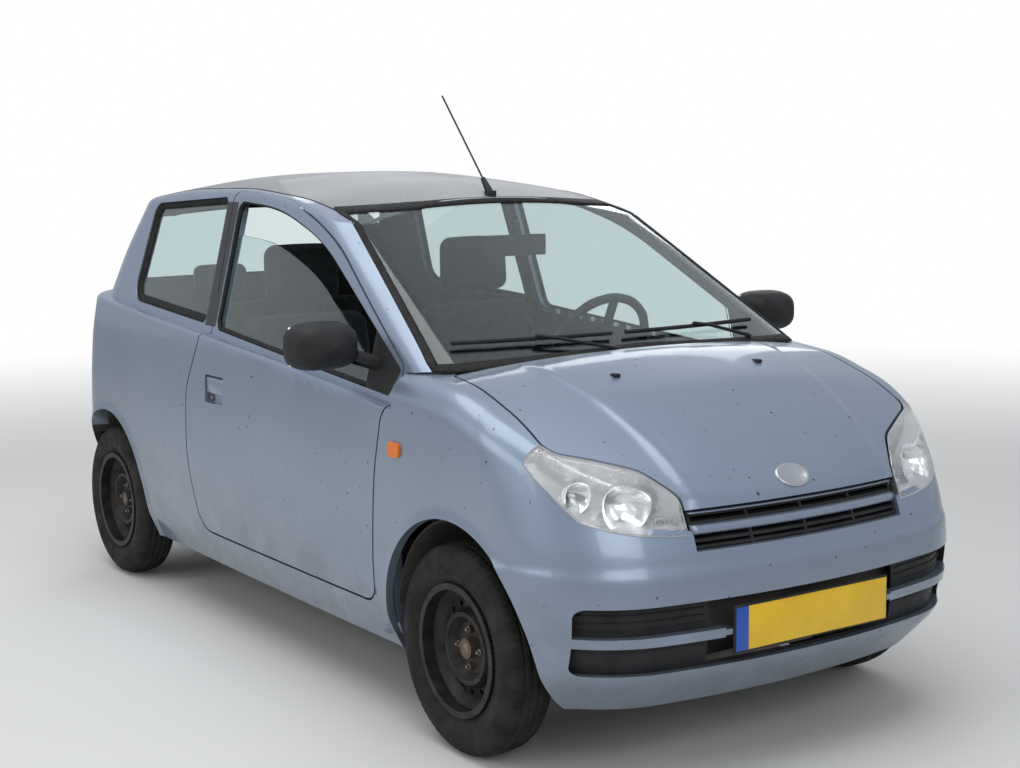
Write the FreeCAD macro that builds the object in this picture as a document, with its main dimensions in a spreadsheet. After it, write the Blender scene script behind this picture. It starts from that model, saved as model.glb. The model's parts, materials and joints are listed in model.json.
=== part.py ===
import FreeCAD, Part
import Sketcher
import math
import os

# Three-door kei car: hollow body, two doors, bonnet, tailgate, four wheels and steering.
# X forward, Y to the car's left, Z up, millimetres; origin on the ground at mid length.
V = FreeCAD.Vector
os.makedirs("parts", exist_ok=True)
doc = FreeCAD.newDocument("KeiCar")
sheet = doc.addObject("Spreadsheet::Sheet", "Sizes")

# alias, value, what it sets
sizeRows = (
    ("frontAxleX", 1121, "front wheel centre from the origin"),
    ("wheelBase", 2390, "front to rear wheel centre"),
    ("wheelY", 645, "front wheel centre plane from the centre line"),
    ("rearWheelY", 640, "rear wheel centre plane from the centre line"),
    ("tyreRadius", 280, "tyre, outside"),
    ("tyreWidth", 145, "tyre, widest"),
    ("tyreCrown", 12, "tread shoulder below the tread"),
    ("rimRadius", 165, "rim's bead seat"),
    ("rimWidth", 118, "rim, flange to flange"),
    ("rimFlange", 11, "flange above the bead seat"),
    ("rimSheet", 6, "rim and disc sheet"),
    ("rimWell", 22, "well below the bead seat"),
    ("dishRadius", 92, "raised ring of the disc"),
    ("dishOut", 34, "raised ring in front of the wheel plane"),
    ("hubFaceRadius", 62, "flat face for the four studs"),
    ("hubFaceOut", 12, "flat face in front of the wheel plane"),
    ("ventRadius", 118, "ring of round holes in the disc"),
    ("ventHole", 17, "each round hole, across"),
    ("ventCount", 16, "round holes"),
    ("studCircle", 100, "four studs, across"),
    ("studHole", 13, "stud hole, across"),
    ("hubBore", 27, "centre bore's radius"),
    ("runningGap", 0.06, "stub axle to bore, radial"),
    ("seatGap", 0.3, "between pieces that touch"),
    ("shutGap", 6.5, "round doors and lids"),
    ("sideWall", 58, "door and side thickness below the belt"),
    ("frameWall", 38, "window frame and pillar thickness"),
    ("wingWall", 22, "wing, bonnet and bumper thickness"),
    ("lampDepth", 90, "headlamp, front to back"),
    ("glassInset", 16, "outer skin to side glass"),
    ("glassSheet", 4, "glass"),
    ("screenInset", 3, "body line to windscreen face"),
    ("beltRound", 14, "edge under the side windows"),
    ("roofRound", 40, "edge between roof and sides"),
    ("wingRound", 80, "edge between bonnet and wings"),
    ("archRadius", 338, "wheel arch, about the wheel"),
    ("archLift", 7, "arch centre above the wheel's"),
    ("linerGap", 5, "arch edge to liner"),
    ("linerSheet", 5, "wheel arch liner"),
    ("tubInner", 414, "front liner's inner wall from the centre line"),
    ("doorHingeX", 843, "door hinge from the origin"),
    ("doorHingeY", 722, "door hinge from the centre line"),
    ("bonnetHingeX", 905, "bonnet hinge"),
    ("bonnetHingeZ", 955, "bonnet hinge"),
    ("tailHingeX", -1338, "tailgate hinge"),
    ("tailHingeZ", 1424, "tailgate hinge"),
    ("floorZ", 212, "underside of the floor"),
    ("floorSheet", 24, "floor with its ribs"),
    ("heelX", -560, "step up to the rear floor"),
    ("rearFloorZ", 392, "top of the rear floor"),
    ("dashRear", 560, "edge of the dashboard nearest the seats"),
    ("fireX", 905, "firewall"),
    ("railY", 345, "front rails from the centre line"),
    ("railWide", 56, "front rail"),
    ("railTall", 92, "front rail"),
    ("seatY", 345, "front seats from the centre line"),
    ("seatWide", 480, "front seat"),
    ("ballY", 604, "lower ball joint"),
    ("ballZ", 188, "lower ball joint"),
    ("strutTopY", 505, "strut's upper mount"),
    ("strutTopZ", 862, "strut's upper mount"),
    ("strutFootY", 541, "strut's axis at wheel height"),
    ("plateWide", 520, "number plate"),
    ("plateTall", 110, "number plate"),
    ("plateSheet", 2, "number plate"),
    ("plateZ", 393, "front plate's centre"),
    ("mastBaseX", 240, "antenna's foot"),
    ("mastLength", 420, "antenna"),
    ("steerX", 345, "steering wheel's centre"),
    ("steerZ", 925, "steering wheel's centre"),
    ("steerRadius", 182, "steering wheel's ring"),
    ("steerTilt", 26, "column above the level, degrees"),
)
for line, (alias, value, note) in enumerate(sizeRows, 1):
    sheet.set("A%d" % line, note)
    sheet.set("B%d" % line, str(value))
    sheet.setAlias("B%d" % line, alias)
doc.recompute()


def size(alias):
    return float(sheet.get(alias))


rearAxleX = size("frontAxleX") - size("wheelBase")
wheelZ = size("tyreRadius")
gap = size("shutGap")
touch = size("seatGap")

# Plan outlines of the lower body, from the sill up: height, front end, its radius and corner,
# half width, side radius, widest station, rear end, its radius and corner
lowerPlans = (
    (200, 1600, 2300, 300, 672, 60000, -100, -1590, 2600, 260),
    (300, 1692, 2300, 310, 718, 60000, -100, -1688, 2600, 260),
    (440, 1705, 2300, 310, 733, 60000, -100, -1705, 2600, 260),
    (580, 1690, 2300, 310, 737, 60000, -100, -1698, 2600, 260),
    (740, 1625, 2300, 310, 736, 60000, -100, -1688, 2600, 260),
    (900, 1560, 2300, 310, 729, 60000, -100, -1672, 2600, 260),
    (1080, 1500, 2300, 310, 708, 60000, -100, -1636, 2600, 260),
)
# The same columns for the windows' part of the body
upperPlans = (
    (840, 1300, 2300, 140, 711, 60000, -100, -1678, 2400, 240),
    (1000, 1012, 2300, 140, 671, 60000, -100, -1638, 2400, 240),
    (1200, 652, 2200, 140, 617, 60000, -100, -1545, 2200, 230),
    (1400, 292, 2000, 140, 563, 60000, -100, -1400, 2000, 220),
    (1560, 4, 2000, 140, 520, 60000, -100, -1240, 2000, 210),
)
# Top surfaces: station along the car, height on the centre line
roofLine = ((1500, 950), (700, 1295), (265, 1418), (0, 1470), (-400, 1500), (-900, 1492),
            (-1300, 1452), (-1800, 1350))
beltLine = ((1400, 850), (900, 884), (72, 955), (-432, 985), (-1163, 1030), (-1800, 1072))
bonnetLine = ((560, 1000), (876, 1025), (1100, 1002), (1300, 937), (1480, 837), (1620, 723),
              (1760, 560))
roofCrown = 2600
beltCrown = 30000
bonnetCrown = 4600

# Side outlines, each corner as station, height and rounding radius
doorOutline = (
    (722, 316, 60), (-446, 316, 100), (-520, 560, 300), (-512, 790, 160), (-412, 965, 150),
    (-464, 1444, 40), (-80, 1430, 1100), (270, 1330, 1100), (820, 992, 30), (836, 908, 18),
    (788, 850, 60), (757, 690, 500),
)
doorWindow = (
    (-388, 992, 35), (-410, 1409, 40), (-95, 1391, 1200), (230, 1301, 1100), (813, 976, 12),
    (772, 903, 16),
)
sailOutline = ((620, 928, 8), (640, 1062, 14), (800, 968, 10), (765, 912, 10))
quarterWindow = ((-1160, 1040, 70), (-1122, 1388, 60), (-498, 1420, 25), (-474, 1003, 25))
seamLine = ((1100, 448), (1306, 557), (1534, 678), (1628, 637), (1900, 560))
lampRear = ((1534, 678), (1392, 806))
# Plan corners of the bonnet's edge, right side only
bonnetEdge = ((975, 617, 20), (1421, 626, 70), (1530, 430, 110), (1609, 366, 20), (1900, 366, 0))
bonnetRearCentre = 1036
grilleHalf = 352
grilleTop = 690
grilleFoot = 594
mouthHalf = 646
mouthFoot = 306
mouthTop = 476


# The two points where circles meet; the one further along X times sign is given back
def circlesMeet(centre, radius, other, otherRadius, sign):
    dx = other[0] - centre[0]
    dy = other[1] - centre[1]
    apart = math.hypot(dx, dy)
    along = (radius ** 2 - otherRadius ** 2 + apart ** 2) / (2 * apart)
    off = math.sqrt(radius ** 2 - along ** 2)
    foot = (centre[0] + along * dx / apart, centre[1] + along * dy / apart)
    spots = [(foot[0] + s * off * dy / apart, foot[1] - s * off * dx / apart) for s in (1, -1)]
    return max(spots, key=lambda p: sign * p[0])


# The point at a radius from a centre, in the direction of another point
def towards(centre, point, radius):
    dx = point[0] - centre[0]
    dy = point[1] - centre[1]
    scale = radius / math.hypot(dx, dy)
    return (centre[0] + dx * scale, centre[1] + dy * scale)


# Closed plan outline of eight tangent arcs, moved inwards by inset
def planOutline(row, inset=0.0, height=None):
    level, front, frontR, cornerR, half, sideR, widest, rear, rearR, rearCornerR = row
    z = level if height is None else height
    front -= inset
    rear += inset
    half -= inset
    frontR -= inset
    cornerR -= inset
    sideR -= inset
    rearR -= inset
    rearCornerR -= inset
    frontC = (front - frontR, 0.0)
    sideC = (widest, half - sideR)
    rearC = (rear + rearR, 0.0)
    corner = circlesMeet(frontC, frontR - cornerR, sideC, sideR - cornerR, 1)
    rearCorner = circlesMeet(rearC, rearR - rearCornerR, sideC, sideR - rearCornerR, -1)
    a = towards(frontC, corner, frontR)
    b = towards(sideC, corner, sideR)
    c = towards(sideC, rearCorner, sideR)
    d = towards(rearC, rearCorner, rearR)
    ab = towards(corner, ((a[0] + b[0]) / 2, (a[1] + b[1]) / 2), cornerR)
    bc = towards(sideC, ((b[0] + c[0]) / 2, (b[1] + c[1]) / 2), sideR)
    cd = towards(rearCorner, ((c[0] + d[0]) / 2, (c[1] + d[1]) / 2), rearCornerR)

    def at(p, side=1):
        return V(p[0], side * p[1], z)

    arcs = (
        (at(a, -1), V(front, 0, z), at(a)),
        (at(a), at(ab), at(b)),
        (at(b), at(bc), at(c)),
        (at(c), at(cd), at(d)),
        (at(d), V(rear, 0, z), at(d, -1)),
        (at(d, -1), at(cd, -1), at(c, -1)),
        (at(c, -1), at(bc, -1), at(b, -1)),
        (at(b, -1), at(ab, -1), at(a, -1)),
    )
    return Part.Wire([Part.Arc(*points).toShape() for points in arcs])


# Solid under a crowned top surface that follows a line along the car, lowered by drop
def crownedSlab(line, crown, drop=0.0):
    half = 900
    foot = 0
    sag = crown - math.sqrt(crown ** 2 - half ** 2)
    sections = []
    for x, z in line:
        left = V(x, half, z - drop - sag)
        right = V(x, -half, z - drop - sag)
        sections.append(Part.Wire([
            Part.makeLine(V(x, -half, foot), right),
            Part.Arc(right, V(x, 0, z - drop), left).toShape(),
            Part.makeLine(left, V(x, half, foot)),
            Part.makeLine(V(x, half, foot), V(x, -half, foot)),
        ]))
    return Part.makeLoft(sections, True, False)


# Edges above a height where two faces meet at more than 8 degrees
def sharpTop(solid, above):
    found = []
    for edge in solid.Edges:
        middle = edge.valueAt((edge.FirstParameter + edge.LastParameter) / 2)
        if middle.z < above:
            continue
        faces = [f for f in solid.Faces if any(edge.isSame(e) for e in f.Edges)]
        if len(faces) != 2:
            continue
        normals = [f.normalAt(*f.Surface.parameter(middle)) for f in faces]
        if math.degrees(normals[0].getAngle(normals[1])) > 8:
            found.append(edge)
    return found


def lowerHull(inset, topDrop):
    stack = Part.makeLoft([planOutline(row, inset) for row in lowerPlans], True, False)
    return stack.common(crownedSlab(beltLine, beltCrown, topDrop))


def upperHull(inset, topDrop, rounding):
    stack = Part.makeLoft([planOutline(row, inset) for row in upperPlans], True, False)
    solid = stack.common(crownedSlab(roofLine, roofCrown, topDrop))
    return solid.makeFillet(rounding, sharpTop(solid, 1100)) if rounding else solid


def frontHull(inset, rounding):
    stack = Part.makeLoft([planOutline(row, inset) for row in lowerPlans], True, False)
    solid = stack.common(crownedSlab(bonnetLine, bonnetCrown, inset))
    return solid.makeFillet(rounding, [e for e in sharpTop(solid, 500) if e.CenterOfMass.x > 900])


# Wire through named corners, each row its two coordinates and a rounding radius
def roundedOutline(rows, place):
    count = len(rows)
    edges = []
    ends = []
    for i in range(count):
        before, here, after = rows[i - 1], rows[i], rows[(i + 1) % count]
        a = (before[0] - here[0], before[1] - here[1])
        b = (after[0] - here[0], after[1] - here[1])
        la, lb = math.hypot(*a), math.hypot(*b)
        half = math.acos(max(-1, min(1, (a[0] * b[0] + a[1] * b[1]) / la / lb))) / 2
        if here[2] <= 0:
            ends.append((place(here[0], here[1]), None, place(here[0], here[1])))
            continue
        back = here[2] / math.tan(half)
        start = (here[0] + a[0] * back / la, here[1] + a[1] * back / la)
        end = (here[0] + b[0] * back / lb, here[1] + b[1] * back / lb)
        reach = here[2] / math.sin(half) - here[2]
        mid = towards(here, ((start[0] + end[0]) / 2, (start[1] + end[1]) / 2), reach)
        ends.append((place(*start), place(*mid), place(*end)))
    for i in range(count):
        start, mid, end = ends[i]
        if mid is not None:
            edges.append(Part.Arc(start, mid, end).toShape())
        following = ends[(i + 1) % count][0]
        if end.distanceToPoint(following) > 1e-4:
            edges.append(Part.makeLine(end, following))
    return Part.Wire(edges)


# Prism across the car from a side outline, between two distances from the centre line
def sidePrism(rows, side, low, high, grow=0.0):
    wire = roundedOutline(rows, lambda x, z: V(x, 0, z))
    face = Part.Face(wire)
    if grow:
        face = Part.Face(face.makeOffset2D(grow).OuterWire)
    solid = face.extrude(V(0, side * (high - low), 0))
    solid.translate(V(0, side * low, 0))
    return solid


# Prism along the car from an outline seen from the front
def frontPrism(rows, low, high, grow=0.0):
    wire = roundedOutline(rows, lambda y, z: V(0, y, z))
    face = Part.Face(wire)
    if grow:
        face = Part.Face(face.makeOffset2D(grow).OuterWire)
    solid = face.extrude(V(high - low, 0, 0))
    solid.translate(V(low, 0, 0))
    return solid


# Upright prism from an outline seen from above
def planPrism(rows, low, high, grow=0.0):
    wire = roundedOutline(rows, lambda x, y: V(x, y, 0))
    face = Part.Face(wire)
    if grow:
        face = Part.Face(face.makeOffset2D(grow).OuterWire)
    solid = face.extrude(V(0, 0, high - low))
    solid.translate(V(0, 0, low))
    return solid


def block(low, high):
    return Part.makeBox(high[0] - low[0], high[1] - low[1], high[2] - low[2], V(*low))


# Cylinder between two points
def rod(start, end, radius):
    a, b = V(*start), V(*end)
    return Part.makeCylinder(radius, (b - a).Length, a, b - a)


def mirrored(shape):
    return shape.mirror(V(0, 0, 0), V(0, 1, 0))


def sideOf(shape, side):
    return shape if side > 0 else mirrored(shape)


def panel(label, shape, place=None):
    if not shape.Solids:
        raise ValueError("nothing left of " + label)
    kept = max(shape.Solids, key=lambda s: s.Volume)
    solids = [s for s in shape.Solids if s.Volume > 0.001 * kept.Volume]
    item = doc.addObject("Part::Feature", label)
    item.Label = label
    item.Shape = solids[0] if len(solids) == 1 else Part.makeCompound(solids)
    item.Placement = place or FreeCAD.Placement()
    nodes.append(item)
    return item


# Round bar or pipe through points, with round elbows
def tube(points, outer, inner=0.0):
    parts = [rod(points[i], points[i + 1], outer) for i in range(len(points) - 1)]
    parts += [Part.makeSphere(outer, V(*p)) for p in points[1:-1]]
    whole = parts[0].fuse(parts[1:]) if len(parts) > 1 else parts[0]
    if inner:
        hollow = [rod(points[i], points[i + 1], inner) for i in range(len(points) - 1)]
        whole = whole.cut(hollow)
    return whole


# Side profile carried across the car between two distances from the centre line
def acrossProfile(rows, low, high):
    wire = roundedOutline(rows, lambda x, z: V(x, low, z))
    return Part.Face(wire).extrude(V(0, high - low, 0))


# Spring or gaiter round an axis: a turned solid with waves
def waveColumn(start, end, outer, inner, waves):
    a, b = V(*start), V(*end)
    length = (b - a).Length
    pitch = length / waves
    points = [V(0, 0, 0), V(inner, 0, 0)]
    for i in range(waves):
        points += [V(outer, 0, (i + 0.5) * pitch), V(inner, 0, (i + 1) * pitch)]
    points += [V(0, 0, length), V(0, 0, 0)]
    turned = Part.Face(Part.makePolygon(points)).revolve(V(0, 0, 0), V(0, 0, 1), 360)
    turned.Placement = FreeCAD.Placement(a, FreeCAD.Rotation(V(0, 0, 1), b - a))
    return turned


nodes = []
sideNames = ((1, "left"), (-1, "right"))
frontAxleX = size("frontAxleX")


# The shape's copy on the car's right; shapes are drawn on the left
def bothSides(label, shape):
    panel(label + "_left", shape)
    panel(label + "_right", mirrored(shape))


# Round opening of a left wheel arch
def archCut(x, grow=0.0, inner=420):
    centre = V(x, inner, wheelZ + size("archLift"))
    return Part.makeCylinder(size("archRadius") + grow, 900 - inner, centre, V(0, 1, 0))


# The body's outer and inner forms, and their left halves
leftHalf = block((-2000, -5, 0), (2000, 1000, 1700))
outerLow = lowerHull(0, 0)
outerLow = outerLow.makeFillet(size("beltRound"), sharpTop(outerLow, 860))
outerUp = upperHull(0, 0, size("roofRound"))
innerLow = lowerHull(size("sideWall"), 24)
innerUp = upperHull(size("frameWall"), size("frameWall"), 0)
wing = frontHull(0, size("wingRound"))
wingInner = frontHull(size("wingWall"), size("wingRound") - size("wingWall"))
body = outerLow.fuse(outerUp)
leftBody = body.common(leftHalf)
leftWing = wing.common(leftHalf)

# Outlines seen from the front and from above
screenRows = ((-512, 1390, 25), (0, 1418, 3600), (512, 1390, 25), (624, 1030, 60), (640, 985, 0), (0, 1006, 0),
              (-640, 985, 0), (-624, 1030, 60))
screenCut = ((-512, 1390, 25), (0, 1418, 3600), (512, 1390, 25), (624, 1030, 60), (640, 985, 0), (640, 900, 0),
             (-640, 900, 0), (-640, 985, 0), (-624, 1030, 60))
tailRows = ((-455, 1520, 0), (455, 1520, 0), (575, 1080, 300), (588, 900, 200), (566, 500, 50),
            (-566, 500, 50), (-588, 900, 200), (-575, 1080, 300))
tailGlassRows = ((-440, 1342, 45), (0, 1374, 2600), (440, 1342, 45), (528, 1075, 45), (-528, 1075, 45))
bonnetRows = ((bonnetRearCentre, 0, 2500),) + bonnetEdge + tuple((x, -y, r) for x, y, r in reversed(bonnetEdge))
roofHalf = 512
sillEnd = 727
cowlHalf = 600
tailTopX = size("tailHingeX") - 52
bumperTopZ = 500

# Roof skin between the ditches, the header and the tailgate
roofPanel = body.common(block((tailTopX + gap, -roofHalf + touch, 1330 + touch), (420, roofHalf - touch, 1600)))
roofPanel = roofPanel.cut(innerUp).cut(frontPrism(screenRows, 150, 1300))
panel("roof_panel", roofPanel)

# Side frame: pillars, sill, cant rail and rear quarter, with the post that carries the door
frame = leftBody.common(block((-1720, 0, 196), (985, 800, 1600)))
frame = frame.cut(block((tailTopX - 200, -10, 1330), (600, roofHalf, 1600)))
frame = frame.cut(frontPrism(screenCut, 150, 1300)).cut(frontPrism(tailRows, -1800, -1240))
frame = frame.cut(innerLow).cut(innerUp)
frame = frame.cut(sidePrism(doorOutline, 1, 300, 900)).cut(sidePrism(quarterWindow, 1, 300, 900))
frame = frame.cut(archCut(rearAxleX)).cut(block((sillEnd, 0, 100), (1000, 900, 870)))
frame = frame.cut(wing.common(block((838, 0, 800), (1100, 900, 1100))))
frame = frame.cut(block((-1900, 0, 100), (-1240, 900, bumperTopZ)))
frame = frame.cut(block((-1900, 590, 640), (-1480, 900, 905)))
postRows = ((700, 240, 0), (788, 240, 0), (792, 500, 0), (815, 700, 0), (830, 900, 0), (700, 900, 0))
post = lowerHull(26, 10).common(sidePrism(postRows, 1, 660, 900)).cut(innerLow).cut(sidePrism(doorOutline, 1, 300, 900))
bothSides("side_frame", frame.fuse(post))
print("side frames built")

# Door in two steps: the skin fills the opening, the inner part stands back from it
skinDepth = 12
innerStep = 15
skinPart = leftBody.common(sidePrism(doorOutline, 1, 300, 900, -gap))
skinPart = skinPart.cut(lowerHull(skinDepth, skinDepth)).cut(upperHull(skinDepth, skinDepth, 0))
deepPart = leftBody.common(sidePrism(doorOutline, 1, 300, 900, -gap - innerStep)).cut(innerLow).cut(innerUp)
door = skinPart.fuse(deepPart).cut(sidePrism(doorWindow, 1, 300, 900))
door = door.cut(block((-700, 0, 1340), (500, roofHalf + 20, 1600)))
handle = block((-352, 700, 762), (-216, 760, 852))
handlePocket = handle.cut(lowerHull(20, 20))
bothSides("door", door.cut(handlePocket))

# Glass
glassOuter = size("glassInset")
glassInner = glassOuter + size("glassSheet")
sideGlass = upperHull(glassOuter, glassOuter, 0).cut(upperHull(glassInner, glassInner, 0))
sailX = 640
windowZone = sidePrism(doorWindow, 1, 300, 900, -touch)
sail = outerUp.common(windowZone).common(block((sailX, 300, 800), (900, 900, 1200))).cut(upperHull(skinDepth, skinDepth, 0))
sections = ((704, 96, 62, 28), (684, 168, 108, 44), (630, 194, 128, 50), (588, 188, 122, 46))
shells = []
for x, wide, tall, r in sections:
    rows = ((815 - wide / 2, 1036 - tall / 2, r), (815 + wide / 2, 1036 - tall / 2, r),
            (815 + wide / 2, 1036 + tall / 2, r), (815 - wide / 2, 1036 + tall / 2, r))
    shells.append(roundedOutline(rows, lambda y, z: V(x, y, z)))
housing = Part.makeLoft(shells, True, False)
arm = rod((676, 640, 972), (650, 752, 1010), 21)
bothSides("mirror", housing.fuse([arm.cut(outerUp), sail]))
doorGlass = sideGlass.common(windowZone).common(block((-700, roofHalf + 22, 800), (900, 900, 1600))).cut(block((sailX - touch, 300, 800), (900, 900, 1200)))
panel("door_glass_left", doorGlass)
lowered = 110
lowLine = windowZone.copy()
lowLine.translate(V(0, 0, -lowered))
panel("door_glass_right", mirrored(doorGlass.common(lowLine)))
quarterGlass = sideGlass.common(sidePrism(quarterWindow, 1, roofHalf + 6, 900, -touch))
panel("quarter_glass", Part.makeCompound([quarterGlass, mirrored(quarterGlass)]))
screenFace = size("screenInset")
screenBack = screenFace + size("glassSheet") + 1
screenOuter = upperHull(screenFace, screenFace, 0)
screenInner = upperHull(screenBack, screenBack, 0)
screenGlass = screenOuter.cut(screenInner)
panel("windscreen", screenGlass.common(frontPrism(screenRows, 150, 1300, -touch)))
panel("tailgate_glass", screenGlass.common(frontPrism(tailGlassRows, -1800, -1200, -touch)))
print("glass built")

# Tailgate
tailgate = body.common(frontPrism(tailRows, -1800, -1240, -gap))
tailgate = tailgate.common(block((-1800, -800, bumperTopZ + gap), (tailTopX, 800, 1600)))
tailgate = tailgate.cut(innerLow).cut(innerUp).cut(frontPrism(tailGlassRows, -1800, -1200))
panel("tailgate", tailgate)
rearPlateX = -1698.3
rearPlateZ = 640
rearPlate = block((rearPlateX - size("plateSheet"), -size("plateWide") / 2, rearPlateZ - size("plateTall") / 2),
                  (rearPlateX, size("plateWide") / 2, rearPlateZ + size("plateTall") / 2))
panel("rear_plate", rearPlate)
wiperPivot = rod((-1560, 0, 1056), (-1672, 0, 1041), 14).cut(outerUp).cut(outerLow)
rearBlade = rod((-1664, 3, 1047), (-1639, -330, 1070), 7)
panel("rear_wiper", wiperPivot.fuse(rearBlade))

# Bonnet
bonnetRegion = planPrism(bonnetRows, 560, 1100)
noseCut = block((1500, -grilleHalf - 20, 400), (1900, grilleHalf + 20, grilleTop))
bonnet = wing.common(planPrism(bonnetRows, 600, 1100, -gap)).cut(wingInner)
bonnet = bonnet.cut(noseCut)
panel("bonnet", bonnet)

# Front bumper below the seam, with the mouth and its two blades
below = tuple((x, z, 0) for x, z in seamLine) + ((1900, 100, 0), (1100, 100, 0))
bumper = wing.common(sidePrism(below, 1, -900, 900)).cut(wingInner)
bumper = bumper.cut(block((1400, -grilleHalf, grilleFoot), (1900, grilleHalf, 800)))
mouthRows = ((-mouthHalf, mouthFoot, 24), (mouthHalf, mouthFoot, 24), (mouthHalf, mouthTop, 24),
             (-mouthHalf, mouthTop, 24))
bumper = bumper.cut(frontPrism(mouthRows, 1450, 1800)).cut(archCut(frontAxleX)).cut(mirrored(archCut(frontAxleX)))
blade = wing.common(block((1450, 285, 378), (1800, mouthHalf + 8, 402))).cut(wingInner)
plateBack = 1690
lug = block((1640, 250, 383), (plateBack - touch, 310, 397))
panel("front_bumper", bumper.fuse([blade, mirrored(blade), lug, mirrored(lug)]))
carrier = block((plateBack, -size("plateWide") / 2 - 5, size("plateZ") - size("plateTall") / 2 - 6),
                (plateBack + 8, size("plateWide") / 2 + 5, size("plateZ") + size("plateTall") / 2 + 6))
plate = block((plateBack + 8, -size("plateWide") / 2, size("plateZ") - size("plateTall") / 2),
              (plateBack + 8 + size("plateSheet"), size("plateWide") / 2, size("plateZ") + size("plateTall") / 2))
panel("front_plate", carrier.fuse(plate))

# Grilles: curved slats held by upright ribs, above and inside the bumper
slats = ((672, 682), (652, 660), (630, 644), (612, 619), (597, 604))
ribs = (-grilleHalf + 6, -176, 0, 176, grilleHalf - 6)
bars = [block((1400, -grilleHalf + 1, low), (1900, grilleHalf - 1, high)) for low, high in slats]
bars += [block((1400, y - 4, grilleFoot + touch), (1900, y + 4, grilleTop - 8)) for y in ribs]
upperGrille = frontHull(16, 64).cut(frontHull(52, 28)).common(bars[0].fuse(bars[1:]))
meshGap = 0.9
meshForm = frontHull(size("wingWall") + meshGap, size("wingRound") - size("wingWall") - meshGap)
meshBack = meshForm.cut(frontHull(size("wingWall") + 6, 52))
mouthInner = ((-mouthHalf - 16, mouthFoot - 14, 24), (mouthHalf + 16, mouthFoot - 14, 24),
              (mouthHalf + 16, mouthTop + 14, 24), (-mouthHalf - 16, mouthTop + 14, 24))
holeHalf = 318
centreHole = ((-holeHalf, mouthFoot + 8, 12), (holeHalf, mouthFoot + 8, 12), (holeHalf, mouthTop - 8, 12),
              (-holeHalf, mouthTop - 8, 12))
lowerGrille = meshBack.common(frontPrism(mouthInner, 1450, 1800)).cut(frontPrism(centreHole, 1400, 1800))
panel("grilles", Part.makeCompound([upperGrille, lowerGrille]))

# Headlamps fill the corner between bonnet, wing and bumper
lampRows = ((lampRear[0][0], lampRear[0][1], 0), (lampRear[1][0], lampRear[1][1], 0), (lampRear[1][0], 960, 0),
            (1900, 960, 0), (1900, 560, 0), (1628, 637, 0))
lampZone = sidePrism(lampRows, 1, grilleHalf + 2, 900).cut(bonnetRegion)
lamp = wing.common(lampZone).cut(frontHull(size("lampDepth"), 8)).cut(bonnetRegion)
panel("headlamps", Part.makeCompound([lamp, mirrored(lamp)]))

# Front wing behind the lamp, above the seam and round the arch
wingPanel = leftWing.common(block((sillEnd + touch, 0, 196), (1640, 900, 1100))).cut(block((600, -10, 880), (1036, cowlHalf + touch, 1100)))
wingPanel = wingPanel.cut(wingInner).cut(bonnetRegion).cut(sidePrism(below, 1, 0, 900)).cut(lampZone)
wingPanel = wingPanel.cut(sidePrism(doorOutline, 1, 300, 900)).cut(archCut(frontAxleX))
wingPanel = wingPanel.cut(block((600, 0, 870), (838, 900, 1100)))
bothSides("front_wing", wingPanel)
lensRows = ((834, 752, 14), (892, 752, 18), (892, 793, 18), (834, 793, 14))
lens = sidePrism(lensRows, 1, 690, 734).cut(wing)
panel("side_repeaters", Part.makeCompound([lens, mirrored(lens)]))

# Rear bumper round the corners, up to the tailgate
rearBumper = outerLow.common(block((-1800, -900, 196), (-1240, 900, bumperTopZ - touch)))
rearBumper = rearBumper.cut(lowerHull(size("wingWall"), 0)).cut(archCut(rearAxleX)).cut(mirrored(archCut(rearAxleX)))
panel("rear_bumper", rearBumper)
tailLamp = outerLow.common(block((-1800, 590 + touch, 640 + touch), (-1480 - touch, 900, 905 - touch)))
tailLamp = tailLamp.cut(lowerHull(size("sideWall"), 0))
panel("tail_lamps", Part.makeCompound([tailLamp, mirrored(tailLamp)]))
print("panels built")



# Floor: front pan, step under the rear seat, rear pan, wheel tubs and exhaust tunnel
floorZ = size("floorZ")
floorTop = floorZ + size("floorSheet")
rearFloor = size("rearFloorZ")
fireX = size("fireX")
heelX = size("heelX")
sheetT = size("floorSheet")
floorRows = ((fireX, floorZ, 0), (fireX, floorTop, 0), (heelX + sheetT, floorTop, 0), (heelX + sheetT, rearFloor, 0),
             (-1640, rearFloor, 0), (-1640, rearFloor - sheetT, 0), (heelX, rearFloor - sheetT, 0), (heelX, floorZ, 0))
floor = acrossProfile(floorRows, -800, 800)
linerR = size("archRadius") - size("linerGap")
linerT = size("linerSheet")
tubInner = size("tubInner")


# Half-round liner over a left wheel, closed on its inner side
def wheelTub(x, inner, outer):
    centre = V(x, inner, wheelZ + size("archLift"))
    cover = Part.makeCylinder(linerR, outer - inner, centre, V(0, 1, 0))
    hollow = Part.makeCylinder(linerR - linerT, outer - inner, centre + V(0, linerT, 0), V(0, 1, 0))
    return cover.cut(hollow), Part.makeCylinder(linerR - 1, outer - inner, centre, V(0, 1, 0))


rearTub, rearTubFill = wheelTub(rearAxleX, 520, 668)
rearTub = rearTub.common(block((-1700, 500, rearFloor - 60), (-800, 700, 700)))
tunnelRadius = 74
tunnel = Part.makeCylinder(tunnelRadius + 8, fireX - heelX - 30, V(heelX + 20, 0, floorZ + 10), V(1, 0, 0))
tunnelHole = Part.makeCylinder(tunnelRadius, fireX - heelX + 60, V(heelX - 20, 0, floorZ + 10), V(1, 0, 0))
floor = floor.fuse(tunnel).cut(tunnelHole).cut([rearTubFill, mirrored(rearTubFill)])
rearPanel = block((-1640, -560, rearFloor - sheetT), (-1622, 560, bumperTopZ))
floor = floor.fuse([rearTub, mirrored(rearTub), rearPanel]).common(lowerHull(size("sideWall") + touch, 30))
floor = floor.cut([archCut(frontAxleX, 0, tubInner), mirrored(archCut(frontAxleX, 0, tubInner))])
floor = floor.cut(block((-800, -900, 0), (900, 900, floorZ)))
panel("floor_pan", floor)

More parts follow.
